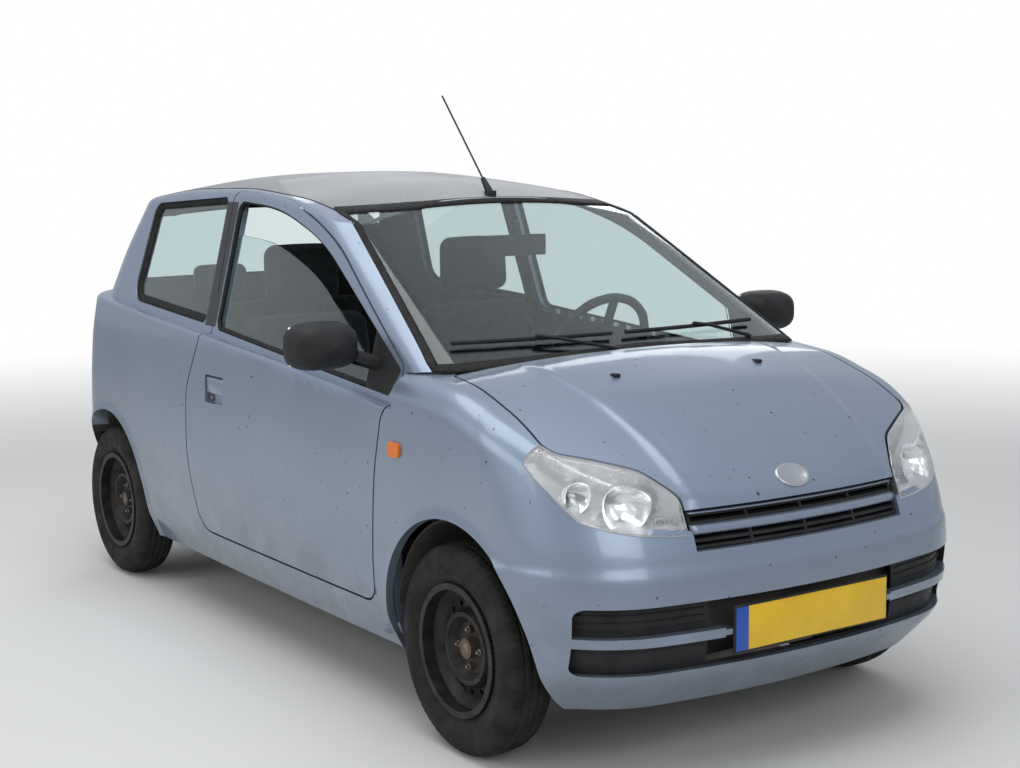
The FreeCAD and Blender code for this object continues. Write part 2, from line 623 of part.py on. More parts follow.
# Firewall with the pedal wall, and the cowl tray under the screen
cowlZ = 905
fire = block((fireX + touch, -640, floorZ), (fireX + 16, 640, cowlZ - touch))
fire = fire.cut([archCut(frontAxleX, -4, tubInner), mirrored(archCut(frontAxleX, -4, tubInner)), tunnelHole])
panel("firewall", fire)
cowlRows = ((-cowlHalf, cowlZ, 0), (cowlHalf, cowlZ, 0), (cowlHalf, 986 - touch, 0), (0, 1006 - touch, 0),
            (-cowlHalf, 986 - touch, 0))
cowl = screenOuter.cut(upperHull(14, 14, 0)).common(frontPrism(cowlRows, 850, 1300))
cowl = cowl.fuse(block((fireX - 20, -cowlHalf, cowlZ), (1150, cowlHalf, cowlZ + 19)).common(screenOuter))
coverForm = frontHull(29, 51)
panel("cowl_panel", cowl.cut(bonnetRegion.cut(coverForm)))

# Front rails, strut towers, liners and the radiator frame
railY = size("railY")
railHalf = size("railWide") / 2
railZ = 330
strutTop = (frontAxleX, size("strutTopY"), size("strutTopZ"))
strutFoot = (frontAxleX, size("strutFootY"), wheelZ)
strutRun = ((strutTop[1] - strutFoot[1]) / (strutTop[2] - strutFoot[2]))


# Point on the strut's own axis at a height
def strutAt(z):
    return (frontAxleX, strutFoot[1] + (z - strutFoot[2]) * strutRun, z)


rail = block((fireX + 16 + touch, railY - railHalf, railZ), (1590, railY + railHalf, railZ + size("railTall")))
tub, tubFill = wheelTub(frontAxleX, tubInner, 684)
tub = tub.common(block((760, 400, 330), (1500, 700, 700)))
tower = rod(strutAt(600), strutAt(size("strutTopZ") + 8), 92).cut(rod(strutAt(560), strutAt(size("strutTopZ")), 84))
shelf = block((fireX + 16 + touch, railY + railHalf - 6, railZ + 40), (1440, tubInner + 2, railZ + 52))
web = block((frontAxleX - 60, railY + railHalf - 6, railZ + 60), (frontAxleX + 60, tubInner + 3, railZ + 270))
web = web.cut(block((frontAxleX - 52, railY, railZ), (frontAxleX + 52, tubInner + 9, railZ + 400)))
tub = tub.cut(rod(strutAt(400), strutAt(900), 84))
tub = tub.fuse([tower, web])
halfFrame = rail.fuse([tub, shelf])
support = block((1545, -560, 300), (1575, 560, 628)).cut(block((1500, -330, 345), (1600, 330, 598)))
support = support.common(frontHull(60, 20))
beam = block((1586, -470, 372), (1612, 470, 452))
frontFrame = halfFrame.fuse([mirrored(halfFrame), support, beam])
frontFrame = frontFrame.common(coverForm)
panel("front_frame", frontFrame)
panel("radiator", block((1512, -314, 336), (1545 - touch, 314, 607)))
print("structure built")

# Engine with gearbox and drive shafts
engine = block((1150, -300, 210), (1440, 130, 690)).fuse(block((1060, 60, 205), (1390, 300, 470)))
bearer = block((1240, -railY + railHalf + touch, 360), (1290, railY - railHalf - touch, 400))
driveEnd = 528
shafts = rod((frontAxleX, -driveEnd, wheelZ), (frontAxleX, driveEnd, wheelZ), 13)
boots = [waveColumn((frontAxleX, s * 486, wheelZ), (frontAxleX, s * driveEnd, wheelZ), 30, 22, 5) for s in (1, -1)]
panel("engine_block", engine.fuse([bearer, shafts] + boots))

# Cross member, control arms and steering rack under the front
ballY = size("ballY")
ballZ = size("ballZ")
armRows = ((frontAxleX - 20, ballY + 11, 12), (frontAxleX + 20, ballY + 11, 12), (frontAxleX + 24, ballY - 110, 60),
           (frontAxleX + 60, 345, 20), (frontAxleX - 150, 322, 30), (frontAxleX - 24, ballY - 110, 60))
arm = planPrism(armRows, ballZ - 12, ballZ + 11)
cross = block((940, -360, ballZ - 20), (1030, 360, ballZ + 40)).cut(block((900, -62, ballZ - 2), (1100, 62, ballZ + 80)))
foot = block((950, railY - 25, ballZ + 40), (1020, railY + 25, railZ - touch))
rack = rod((985, -300, ballZ + 102), (985, 300, ballZ + 102), 22)
rackFoot = block((970, 150, ballZ + 30), (1000, 200, ballZ + 102))
panel("front_subframe", cross.fuse([arm, mirrored(arm), foot, mirrored(foot), rack, rackFoot, mirrored(rackFoot)]))

# Exhaust and fuel tank
pipeZ = 214
pipe = tube(((1150 - touch, 0, 234), (1110, 0, 234), (1050, 0, pipeZ), (-610, 0, pipeZ), (-680, -256, pipeZ + 4), (-880, -262, 328),
             (-1400, -262, 324)), 24)
silencer = rod((-1440, -330, 290), (-1440, 250, 290), 74)
tail = tube(((-1440, -300, 262), (-1530, -330, 178), (-1640, -330, 174)), 20, 17)
hangers = [rod((-300, 0, pipeZ), (-300, 0, floorZ + 10 + tunnelRadius - touch), 5),
           rod((-1440, 200, 300), (-1440, 200, rearFloor - sheetT - touch), 6)]
panel("exhaust", pipe.fuse([silencer, tail] + hangers))
tank = block((-968, -150, 222), (-690, 430, rearFloor - sheetT - touch))
tank = tank.makeFillet(40, [e for e in tank.Edges if abs(e.Vertexes[0].Z - e.Vertexes[-1].Z) > 50])
panel("fuel_tank", tank)

# Rear axle: twist beam, trailing arms, stub axles, drums, springs and dampers
rearY = size("rearWheelY")
hubR = size("hubBore") - size("runningGap")
faceY = size("hubFaceOut")
sheetR = size("rimSheet")
trail = block((-1290, 500, 248), (-900, 552, 300)).fuse(rod((-905, 488, 274), (-905, 562, 274), 34))
drum = rod((rearAxleX, 552, wheelZ), (rearAxleX, rearY - 6, wheelZ), 102)
drum = drum.fuse(rod((rearAxleX, 560, wheelZ), (rearAxleX, rearY + faceY - sheetR - touch, wheelZ), 58))
stub = rod((rearAxleX, 560, wheelZ), (rearAxleX, rearY + faceY + 20, wheelZ), hubR)
spring = waveColumn((-1130, 450, 292), (-1130, 450, rearFloor - sheetT - touch), 58, 46, 5)
seat = rod((-1130, 450, 262), (-1130, 450, 294), 62).fuse(block((-1150, 450, 258), (-1110, 520, 286)))
damper = rod((-1222, 470, 254), (-1222, 470, rearFloor - sheetT - touch), 20)
damperPin = rod((-1222, 446, 274), (-1222, 520, 274), 12)
halfAxle = trail.fuse([drum, stub, spring, seat, damper, damperPin])
twist = rod((-1010, -505, 262), (-1010, 505, 262), 30)
bracket = block((-935, 470, 300), (-875, 490, rearFloor - sheetT - touch)).fuse(rod((-905, 470, 274), (-905, 492, 274), 22))
bracket = bracket.fuse(block((-925, 470, 270), (-885, 490, 305)))
halfAxle = halfAxle.fuse(bracket)
panel("rear_axle", twist.fuse([halfAxle, mirrored(halfAxle)]))
print("chassis built")

# Knuckle with hub, brake disc, calliper, strut, spring and steering arm
wheelY = size("wheelY")
hubFace = wheelY + faceY - sheetR - touch
armTop = ballZ + 11
kingRun = (strutTop[1] - ballY) / (strutTop[2] - ballZ)


# Point on the axis that the knuckle steers about, at a height
def kingAt(z):
    return (frontAxleX, ballY + (z - ballZ) * kingRun, z)


# Ball ends on the steering axis, so that they turn in place over the arm and under the tower
ballR = 16
ballSpot = kingAt(armTop + touch + ballR)
lean = math.atan(strutRun) - math.atan(kingRun)
topSpot = kingAt(strutTop[2] - (ballR + touch) / math.cos(lean) * math.cos(math.atan(kingRun)))
ball = Part.makeSphere(ballR, V(*ballSpot)).fuse(rod(ballSpot, (frontAxleX, ballY - 2, wheelZ - 20), 13))
post = block((frontAxleX - 24, 584, wheelZ - 40), (frontAxleX + 24, 606, 420))
joint = rod((frontAxleX, 572, wheelZ), (frontAxleX, 606, wheelZ), 30)
clamp = block((frontAxleX - 20, 545, 318), (frontAxleX + 20, 590, 410))
hub = rod((frontAxleX, 600, wheelZ), (frontAxleX, hubFace, wheelZ), 60)
stubEnd = rod((frontAxleX, 604, wheelZ), (frontAxleX, wheelY + faceY + 20, wheelZ), hubR)
disc = rod((frontAxleX, 632, wheelZ), (frontAxleX, 641, wheelZ), 118)
calliper = block((frontAxleX - 118, 606, wheelZ - 42), (frontAxleX - 72, 644, wheelZ + 42))
bridge = block((frontAxleX - 88, 594, wheelZ - 20), (frontAxleX, 610, wheelZ + 20))
damperTube = rod(strutAt(318), strutAt(620), 24)
seatPlate = rod(strutAt(606), strutAt(617), 60)
coil = waveColumn(strutAt(616), strutAt(size("strutTopZ") - 26), 56, 44, 7)
rodEnd = rod(strutAt(size("strutTopZ") - 60), topSpot, 12).fuse(Part.makeSphere(ballR, V(*topSpot)))
steerArm = block((frontAxleX - 130, 560, 256), (frontAxleX - 10, 592, 274))
pieces = [post, joint, clamp, hub, stubEnd, disc, calliper, bridge, damperTube, seatPlate, coil, rodEnd, steerArm]
bothSides("knuckle", ball.fuse(pieces))


# The origin plane of a body with a given role
def originPlane(target, role):
    return next(f for f in target.Origin.OriginFeatures if f.Role == role)


# Solid turned about the body's Y axis; each row is a distance along it and a radius, as expressions
def turnedBody(label, rows, place):
    target = doc.addObject("PartDesign::Body", label)
    sketch = target.newObject("Sketcher::SketchObject", label + "_profile")
    sketch.AttachmentSupport = (originPlane(target, "YZ_Plane"), [""])
    sketch.MapMode = "FlatFace"
    spots = [V(float(sketch.evalExpression(a)), float(sketch.evalExpression(r)), 0) for a, r in rows]
    for i in range(len(spots)):
        sketch.addGeometry(Part.LineSegment(spots[i], spots[(i + 1) % len(spots)]), False)
    for i in range(len(spots)):
        sketch.addConstraint(Sketcher.Constraint("Coincident", i, 2, (i + 1) % len(spots), 1))
    for i, (along, radius) in enumerate(rows):
        for kind, value, text in (("DistanceX", spots[i].x, along), ("DistanceY", spots[i].y, radius)):
            number = sketch.addConstraint(Sketcher.Constraint(kind, -1, 1, i, 1, value))
            sketch.setExpression("Constraints[%d]" % number, text)
    turned = target.newObject("PartDesign::Revolution", label + "_turned")
    turned.Profile = sketch
    turned.ReferenceAxis = (sketch, ["H_Axis"])
    turned.Angle = 360
    target.Placement = place
    return target


tyreRows = (
    ("-Sizes.rimWidth / 2", "Sizes.rimRadius"), ("-Sizes.rimWidth / 2", "Sizes.rimRadius + Sizes.rimFlange + 3"),
    ("-Sizes.tyreWidth / 2", "Sizes.tyreRadius - 52"), ("-Sizes.tyreWidth / 2 + 4", "Sizes.tyreRadius - 30"),
    ("-Sizes.tyreWidth / 2 + 16", "Sizes.tyreRadius - 7"), ("-30", "Sizes.tyreRadius"), ("30", "Sizes.tyreRadius"),
    ("Sizes.tyreWidth / 2 - 16", "Sizes.tyreRadius - 7"), ("Sizes.tyreWidth / 2 - 4", "Sizes.tyreRadius - 30"),
    ("Sizes.tyreWidth / 2", "Sizes.tyreRadius - 52"), ("Sizes.rimWidth / 2", "Sizes.rimRadius + Sizes.rimFlange + 3"),
    ("Sizes.rimWidth / 2", "Sizes.rimRadius"),
)
# Rim section from the inner flange over the well to the outer flange, then the disc inwards
rimRows = (
    ("-Sizes.rimWidth / 2 - 7", "Sizes.rimRadius + Sizes.rimFlange"), ("-Sizes.rimWidth / 2 - 0.3", "Sizes.rimRadius + Sizes.rimFlange"),
    ("-Sizes.rimWidth / 2 - 0.3", "Sizes.rimRadius - 0.3"), ("-24", "Sizes.rimRadius - 0.3"), ("-14", "Sizes.rimRadius - Sizes.rimWell"),
    ("12", "Sizes.rimRadius - Sizes.rimWell"), ("24", "Sizes.rimRadius - 0.3"), ("Sizes.rimWidth / 2 + 0.3", "Sizes.rimRadius - 0.3"),
    ("Sizes.rimWidth / 2 + 0.3", "Sizes.rimRadius + Sizes.rimFlange"), ("Sizes.rimWidth / 2 + 7", "Sizes.rimRadius + Sizes.rimFlange"),
    ("Sizes.rimWidth / 2 + 7", "Sizes.rimRadius - Sizes.rimSheet"), ("30", "Sizes.rimRadius - Sizes.rimSheet"),
    ("20", "Sizes.rimRadius - Sizes.rimWell + 2"), ("10", "Sizes.ventRadius + 16"), ("14", "Sizes.ventRadius - 10"),
    ("Sizes.dishOut", "Sizes.dishRadius + 4"), ("Sizes.dishOut", "Sizes.dishRadius - 8"),
    ("Sizes.hubFaceOut", "Sizes.hubFaceRadius + 6"), ("Sizes.hubFaceOut", "Sizes.hubBore"),
    ("Sizes.hubFaceOut - Sizes.rimSheet", "Sizes.hubBore"), ("Sizes.hubFaceOut - Sizes.rimSheet", "Sizes.hubFaceRadius + 8"),
    ("Sizes.dishOut - Sizes.rimSheet", "Sizes.dishRadius - 5"), ("Sizes.dishOut - Sizes.rimSheet", "Sizes.dishRadius + 1"),
    ("8", "Sizes.ventRadius - 12"), ("4", "Sizes.ventRadius + 14"), ("4", "Sizes.rimRadius - Sizes.rimWell - Sizes.rimSheet"),
    ("-18", "Sizes.rimRadius - Sizes.rimWell - Sizes.rimSheet"), ("-30", "Sizes.rimRadius - Sizes.rimSheet"),
    ("-Sizes.rimWidth / 2 - 7", "Sizes.rimRadius - Sizes.rimSheet"),
)
corners = (
    ("front_left", frontAxleX, wheelY), ("front_right", frontAxleX, -wheelY),
    ("rear_left", rearAxleX, rearY), ("rear_right", rearAxleX, -rearY),
)
for name, x, y in corners:
    turn = FreeCAD.Rotation(V(0, 0, 1), 0 if y > 0 else 180)
    place = FreeCAD.Placement(V(x, y, wheelZ), turn)
    nodes.append(turnedBody("tyre_" + name, tyreRows, place))
    rim = turnedBody("rim_" + name, rimRows, place)
    for ring, count, across in (("ventRadius", "ventCount", "ventHole"), ("studCircle / 2", "", "studHole")):
        drill = rim.newObject("Sketcher::SketchObject", "rim_%s_%s" % (name, across))
        drill.AttachmentSupport = (originPlane(rim, "XZ_Plane"), [""])
        drill.MapMode = "FlatFace"
        at = float(drill.evalExpression("Sizes." + ring))
        radius = size(across) / 2
        drill.addGeometry(Part.Circle(V(at, 0, 0), V(0, 0, 1), radius), False)
        drill.addConstraint(Sketcher.Constraint("PointOnObject", 0, 3, -1))
        number = drill.addConstraint(Sketcher.Constraint("DistanceX", -1, 1, 0, 3, at))
        drill.setExpression("Constraints[%d]" % number, "Sizes." + ring)
        number = drill.addConstraint(Sketcher.Constraint("Radius", 0, radius))
        drill.setExpression("Constraints[%d]" % number, "Sizes.%s / 2" % across)
        pocket = rim.newObject("PartDesign::Pocket", "rim_%s_%s_cut" % (name, across))
        pocket.Profile = drill
        pocket.Type = "ThroughAll"
        pocket.Midplane = True
        pattern = rim.newObject("PartDesign::PolarPattern", "rim_%s_%s_ring" % (name, across))
        pattern.Originals = [pocket]
        pattern.Axis = (originPlane(rim, "Y_Axis"), [""])
        pattern.Angle = 360
        pattern.Occurrences = int(size(count)) if count else 4
        rim.Tip = pattern
    nodes.append(rim)
doc.recompute()
print("wheels built")

# Antenna on the roof and the two parked wipers at the foot of the screen
mastX = size("mastBaseX")
rake = V(-0.664, 0, 0.748)
mastFoot = V(mastX, 0, 1428)
footDisc = Part.makeCylinder(19, 26, V(mastX, 0, 1412), V(0, 0, 1)).cut(outerUp)
cone = Part.makeCone(13, 8, 64, mastFoot, rake)
mast = Part.makeCylinder(3, size("mastLength"), mastFoot, rake)
panel("antenna", footDisc.fuse([cone.cut(outerUp), mast]))
screenSlope = (upperPlans[1][1] - upperPlans[2][1]) / (upperPlans[2][0] - upperPlans[1][0])


# Point above the screen's face, by distance across and height on the glass
def overScreen(y, z, off):
    x = upperPlans[1][1] - (z - upperPlans[1][0]) * screenSlope - y * y / (2 * upperPlans[1][2]) - screenFace
    tip = math.hypot(1, screenSlope)
    return (x + off / tip, y, z + off * screenSlope / tip)


bladeOff = 16
wipers = []
for pivotY, pivotZ, ends in ((-90, 1000, (-560, -70)), (430, 1000, (-20, 500))):
    steps = [ends[0] + (ends[1] - ends[0]) * i / 4 for i in range(5)]
    wipers.append(tube([overScreen(y, 1034, bladeOff) for y in steps], 6))
    middle = (ends[0] + ends[1]) / 2
    route = [overScreen(pivotY, pivotZ, 12), overScreen(middle + 60, 1026, bladeOff + 8), overScreen(middle, 1034, bladeOff + 10)]
    wipers.append(tube(route, 5))
    wipers.append(rod(overScreen(middle, 1034, bladeOff), overScreen(middle, 1034, bladeOff + 10), 5))
    wipers.append(rod(overScreen(pivotY, pivotZ, touch), overScreen(pivotY, pivotZ, bladeOff), 8))
panel("front_wipers", wipers[0].fuse(wipers[1:4]).fuse(wipers[4].fuse(wipers[5:])))

# Dashboard with the binnacle and the steering column
dashRear = size("dashRear")
dashRows = ((dashRear, 640, 30), (dashRear - 10, 800, 30), (dashRear + 70, 880, 40), (fireX, 900, 10), (fireX, 640, 10))
dash = acrossProfile(dashRows, -596, 596)
hoodRows = ((dashRear + 10, 800, 20), (dashRear - 20, 905, 30), (dashRear + 60, 945, 40), (dashRear + 240, 890, 20))
hood = acrossProfile(hoodRows, size("seatY") - 150, size("seatY") + 150)
tilt = math.radians(size("steerTilt"))
steerAxis = V(-math.cos(tilt), 0, math.sin(tilt))
steerSpot = V(size("steerX"), size("seatY"), size("steerZ"))
columnStart = steerSpot - steerAxis * 60
column = rod(tuple(columnStart), tuple(steerSpot - steerAxis * 330), 32)
panel("dashboard", dash.fuse([hood, column]))

# Steering wheel: ring, hub pad and three spokes, square to the column
ring = Part.makeTorus(size("steerRadius"), 15, V(0, 0, 0), V(0, 0, 1))
pad = Part.makeCylinder(62, 34, V(0, 0, -28), V(0, 0, 1))
boss = Part.makeCylinder(28, 34, V(0, 0, touch - 60), V(0, 0, 1))
spokes = [block((30, -18, -14), (size("steerRadius") - 4, 18, -2)).rotated(V(0, 0, 0), V(0, 0, 1), a) for a in (0, 180, 270)]
steering = ring.fuse([pad, boss] + spokes)
panel("steering_wheel", steering, FreeCAD.Placement(steerSpot, FreeCAD.Rotation(V(0, 0, 1), steerAxis)))

# Seats: cushion, raked back and headrest in one upholstered solid each
seatY = size("seatY")
seatHalf = size("seatWide") / 2
cushionRows = ((-330, 330, 40), (-330, 440, 60), (230, 500, 60), (230, 350, 60))
backRows = ((-330, 400, 60), (-190, 420, 60), (-330, 1030, 60), (-450, 1030, 60), (-440, 600, 300))
headRows = ((-450, 1062, 40), (-345, 1062, 40), (-360, 1262, 45), (-450, 1262, 45))
base = block((-280, seatY - 190, floorTop + touch), (200, seatY + 190, 345))
seat = acrossProfile(cushionRows, seatY - seatHalf, seatY + seatHalf)
seat = seat.fuse([acrossProfile(backRows, seatY - seatHalf + 10, seatY + seatHalf - 10), base])
seat = seat.fuse([acrossProfile(headRows, seatY - 135, seatY + 135)])
seat = seat.fuse([rod((-400, seatY + s, 1010), (-402, seatY + s, 1080), 7) for s in (-70, 70)])
panel("front_seats", Part.makeCompound([seat, mirrored(seat)]))
benchRows = ((-1170, rearFloor + touch, 0), (-1170, 530, 40), (-640, 565, 60), (-525, 548, 50), (-535, rearFloor + touch, 0))
benchBack = ((-1180, 440, 30), (-1040, 470, 30), (-1190, 1005, 50), (-1290, 1005, 50))
bench = acrossProfile(benchRows, -512, 512).fuse(acrossProfile(benchBack, -512, 512))
heads = [acrossProfile(((-1290, 1030, 30), (-1205, 1030, 30), (-1215, 1150, 30), (-1285, 1150, 30)), s * 260 - 110, s * 260 + 110) for s in (1, -1)]
posts = [rod((-1245, s * 260 + p, 990), (-1248, s * 260 + p, 1050), 6) for s in (1, -1) for p in (-50, 50)]
panel("rear_seat", bench.fuse(heads + posts))

# Interior mirror on a stem from the header
mirrorGlass = block((352, -110, 1236), (384, 110, 1300))
stem = rod((370, 0, 1280), overScreen(0, 1345, 0), 8).common(screenInner)
stem.translate(V(-2 * touch, 0, 0))
panel("interior_mirror", mirrorGlass.fuse(stem))
print("inside built")

for item in doc.Objects:
    if "Invalid" in item.State or "Error" in item.State:
        raise ValueError("failed object " + item.Name)
for item in nodes:
    if item.Shape.isNull() or not item.Shape.isValid():
        raise ValueError("bad shape " + item.Label)
for item in nodes:
    print(item.Label, len(item.Shape.Solids), len(item.Shape.Faces), round(item.Shape.Volume / 1e6, 1))
    item.Shape.exportStep("parts/%s.step" % item.Label)
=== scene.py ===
import json
import math
import bmesh
import bpy
import numpy as np
from mathutils import Matrix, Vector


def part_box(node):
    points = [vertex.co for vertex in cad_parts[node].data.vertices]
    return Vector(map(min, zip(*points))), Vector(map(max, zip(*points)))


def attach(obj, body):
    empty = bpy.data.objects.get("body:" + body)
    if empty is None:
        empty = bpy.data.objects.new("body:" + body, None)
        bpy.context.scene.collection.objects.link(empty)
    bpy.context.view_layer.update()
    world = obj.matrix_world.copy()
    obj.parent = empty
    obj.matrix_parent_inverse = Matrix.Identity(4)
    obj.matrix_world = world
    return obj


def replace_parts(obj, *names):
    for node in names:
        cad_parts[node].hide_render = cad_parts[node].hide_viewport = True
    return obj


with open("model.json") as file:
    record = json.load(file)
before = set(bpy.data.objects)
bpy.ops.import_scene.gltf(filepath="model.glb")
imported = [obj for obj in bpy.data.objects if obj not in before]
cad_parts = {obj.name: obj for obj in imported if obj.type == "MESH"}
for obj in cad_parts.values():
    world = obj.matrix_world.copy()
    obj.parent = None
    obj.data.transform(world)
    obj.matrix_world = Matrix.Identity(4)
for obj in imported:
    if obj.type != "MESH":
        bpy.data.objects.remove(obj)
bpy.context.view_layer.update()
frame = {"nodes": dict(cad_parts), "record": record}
cadNodes = frame["nodes"]
nodeBody = {name: body for body, names in frame["record"]["behaviour"]["bodies"].items() for name in names}
mm = 0.001
sides = ((1, "left"), (-1, "right"))
print("frame loaded")


def unit(p):
    return p / np.maximum(np.linalg.norm(p, axis=0), 1e-9)


cameraView = {"place": (4.642288, -2.913195, 1.540257), "yaw": 2.546375, "pitch": -0.135575, "roll": -0.009907,
              "focal": 1658.857, "across": 1020, "film": 36, "farthest": 200}


# Camera axes from yaw, pitch and roll: forward along them, right level with the ground, up square to both
def makeCamera():
    view = cameraView
    yaw, pitch, roll = view["yaw"], view["pitch"], view["roll"]
    ahead = np.array([math.cos(yaw) * math.cos(pitch), math.sin(yaw) * math.cos(pitch), math.sin(pitch)])
    right = np.array([math.sin(yaw), -math.cos(yaw), 0.0])
    up = np.cross(right, ahead)
    rightTurned = math.cos(roll) * right + math.sin(roll) * up
    upTurned = -math.sin(roll) * right + math.cos(roll) * up
    place = Matrix.Identity(4)
    for row in range(3):
        place[row][0], place[row][1] = rightTurned[row], upTurned[row]
        place[row][2], place[row][3] = -ahead[row], view["place"][row]
    data = bpy.data.cameras.new("photoCamera")
    data.sensor_width = view["film"]
    data.lens = view["film"] * view["focal"] / view["across"]
    data.clip_end = view["farthest"]
    camera = bpy.data.objects.new("photoCamera", data)
    camera.matrix_world = place
    bpy.context.scene.collection.objects.link(camera)
    bpy.context.scene.camera = camera
    bpy.context.scene.view_settings.view_transform = "Standard"


def newMaterial(name):
    material = bpy.data.materials.new(name)
    material.use_nodes = True
    tree = material.node_tree
    shader = next(n for n in tree.nodes if n.type == "BSDF_PRINCIPLED")
    return material, tree, shader


# Sockets, by name or number, take a link or a constant
def feed(tree, node, values):
    for key, value in values.items():
        if isinstance(value, bpy.types.NodeSocket):
            tree.links.new(value, node.inputs[key])
        else:
            node.inputs[key].default_value = value


def addNode(tree, kind, values, **settings):
    node = tree.nodes.new(kind)
    for key, value in settings.items():
        setattr(node, key, value)
    feed(tree, node, values)
    return node


def calculate(tree, operation, *values):
    return addNode(tree, "ShaderNodeMath", dict(enumerate(values)), operation=operation).outputs[0]


def ownPlace(tree):
    return addNode(tree, "ShaderNodeTexCoord", {}).outputs["Object"]


def ownHeight(tree):
    return addNode(tree, "ShaderNodeSeparateXYZ", {"Vector": ownPlace(tree)}).outputs["Z"]


# A value's span carried over to another span
def spanned(tree, value, source, target=(0.0, 1.0), **settings):
    ends = dict(zip(("From Min", "From Max", "To Min", "To Max"), source + target))
    return addNode(tree, "ShaderNodeMapRange", {"Value": value, **ends}, **settings).outputs["Result"]


noiseSpan = (0.3, 0.7)


def noise(tree, scale, detail):
    values = {"Vector": ownPlace(tree), "Scale": scale, "Detail": detail}
    return addNode(tree, "ShaderNodeTexNoise", values).outputs["Fac"]


# A noise over the object's own coordinates, spread between two values
def noiseRange(tree, scale, low=0.0, high=1.0, detail=3.0):
    return spanned(tree, noise(tree, scale, detail), noiseSpan, (low, high))


def mixColours(tree, factor, first, second):
    ends = [c if isinstance(c, bpy.types.NodeSocket) else tuple(c) + (1.0,) for c in (first, second)]
    return addNode(tree, "ShaderNodeMix", {0: factor, 6: ends[0], 7: ends[1]}, data_type="RGBA").outputs[2]


def darker(colour, share):
    return tuple(share * c for c in colour)


def bumpFrom(tree, shader, height, strength, distance):
    bump = addNode(tree, "ShaderNodeBump", {"Height": height, "Strength": strength, "Distance": distance})
    feed(tree, shader, {"Normal": bump.outputs["Normal"]})


dirtPatches = {"scale": 9.0, "low": 0.25, "high": 1.0, "detail": 6.0}


# Share of road dirt: full below one height of the object, gone above another, broken up by noise
def dirtShare(tree, low, high, most):
    fade = spanned(tree, ownHeight(tree), (low, high), (most, 0.0))
    return calculate(tree, "MULTIPLY", fade, noiseRange(tree, *dirtPatches.values()))


# Finishes: colour, second colour, how coarse their noise is, metal, roughness, grain's height and scale
finishes = {
    "blackPlastic": ((0.018, 0.018, 0.019), (0.03, 0.03, 0.032), 14, 0.0, 0.55, 0.00012, 900),
    "glossBlack": ((0.008, 0.008, 0.009), (0.015, 0.015, 0.017), 20, 0.0, 0.18, 0.0, 1),
    "dashPlastic": ((0.028, 0.03, 0.033), (0.042, 0.044, 0.048), 10, 0.0, 0.62, 0.00016, 700),
    "rubberSeal": ((0.012, 0.012, 0.012), (0.022, 0.022, 0.022), 30, 0.0, 0.7, 0.00005, 500),
    "underbody": ((0.05, 0.052, 0.055), (0.12, 0.105, 0.085), 7, 0.1, 0.75, 0.0004, 160),
    "castMetal": ((0.22, 0.22, 0.22), (0.13, 0.12, 0.11), 12, 0.8, 0.55, 0.0004, 300),
    "darkIron": ((0.14, 0.12, 0.1), (0.2, 0.13, 0.08), 22, 0.7, 0.6, 0.0004, 260),
    "exhaustSteel": ((0.32, 0.28, 0.24), (0.3, 0.15, 0.07), 16, 0.85, 0.5, 0.0002, 200),
    "moulded": ((0.025, 0.025, 0.026), (0.05, 0.045, 0.04), 8, 0.0, 0.7, 0.0002, 300),
    "radiatorFins": ((0.02, 0.02, 0.021), (0.06, 0.058, 0.055), 40, 0.5, 0.5, 0.0006, 240),
    "wheelPaint": ((0.014, 0.014, 0.015), (0.045, 0.039, 0.033), 26, 0.2, 0.45, 0.00008, 400),
    "nutSteel": ((0.3, 0.28, 0.26), (0.2, 0.11, 0.06), 60, 0.9, 0.45, 0.0001, 600),
    "chromeBowl": ((0.86, 0.87, 0.88), (0.8, 0.81, 0.82), 8, 1.0, 0.09, 0.0, 1),
    "brightSatin": ((0.62, 0.64, 0.66), (0.5, 0.52, 0.54), 12, 0.9, 0.26, 0.0, 1),
    "lampHousing": ((0.52, 0.53, 0.54), (0.64, 0.65, 0.66), 9, 0.75, 0.24, 0.0, 1),
    "mirrorFace": ((0.85, 0.86, 0.87), (0.83, 0.84, 0.85), 5, 1.0, 0.03, 0.0, 1),
    "doorTrim": ((0.05, 0.052, 0.057), (0.075, 0.077, 0.083), 16, 0.0, 0.72, 0.0002, 500),
    "headliner": ((0.34, 0.34, 0.33), (0.42, 0.42, 0.41), 18, 0.0, 0.9, 0.0003, 500),
    "plateYellow": ((0.86, 0.56, 0.02), (0.78, 0.48, 0.02), 12, 0.0, 0.38, 0.0, 1),
    "plateBlue": ((0.015, 0.08, 0.42), (0.02, 0.1, 0.48), 12, 0.0, 0.4, 0.0, 1),
    "amberLens": ((0.85, 0.2, 0.01), (0.7, 0.14, 0.01), 10, 0.0, 0.15, 0.0003, 240),
    "whiteLens": ((0.62, 0.63, 0.64), (0.5, 0.51, 0.52), 10, 0.0, 0.15, 0.0003, 240),
    "redLens": ((0.42, 0.012, 0.012), (0.3, 0.008, 0.008), 10, 0.0, 0.13, 0.0003, 240),
}
patchy = {"detail": 5.0, "dullFrom": 0.4, "dullSheen": 0.22, "sheen": 0.5, "finer": 2.5, "smoother": 0.85,
          "rougher": 1.18, "grainDetail": 2.0, "strength": 0.6}


# Two colours in soft patches, roughness over a span, a fine grain if it has one, and plain values for the rest
def patchedFinish(name, colours, patches, rough, grain, values):
    material, tree, shader = newMaterial(name)
    colour = mixColours(tree, noiseRange(tree, patches[0], detail=patches[1]), *colours)
    feed(tree, shader, {"Base Color": colour, "Roughness": noiseRange(tree, *rough), **values})
    if grain:
        scale, detail, strength, height = grain
        bumpFrom(tree, shader, noiseRange(tree, scale, detail=detail), strength, height)
    return material


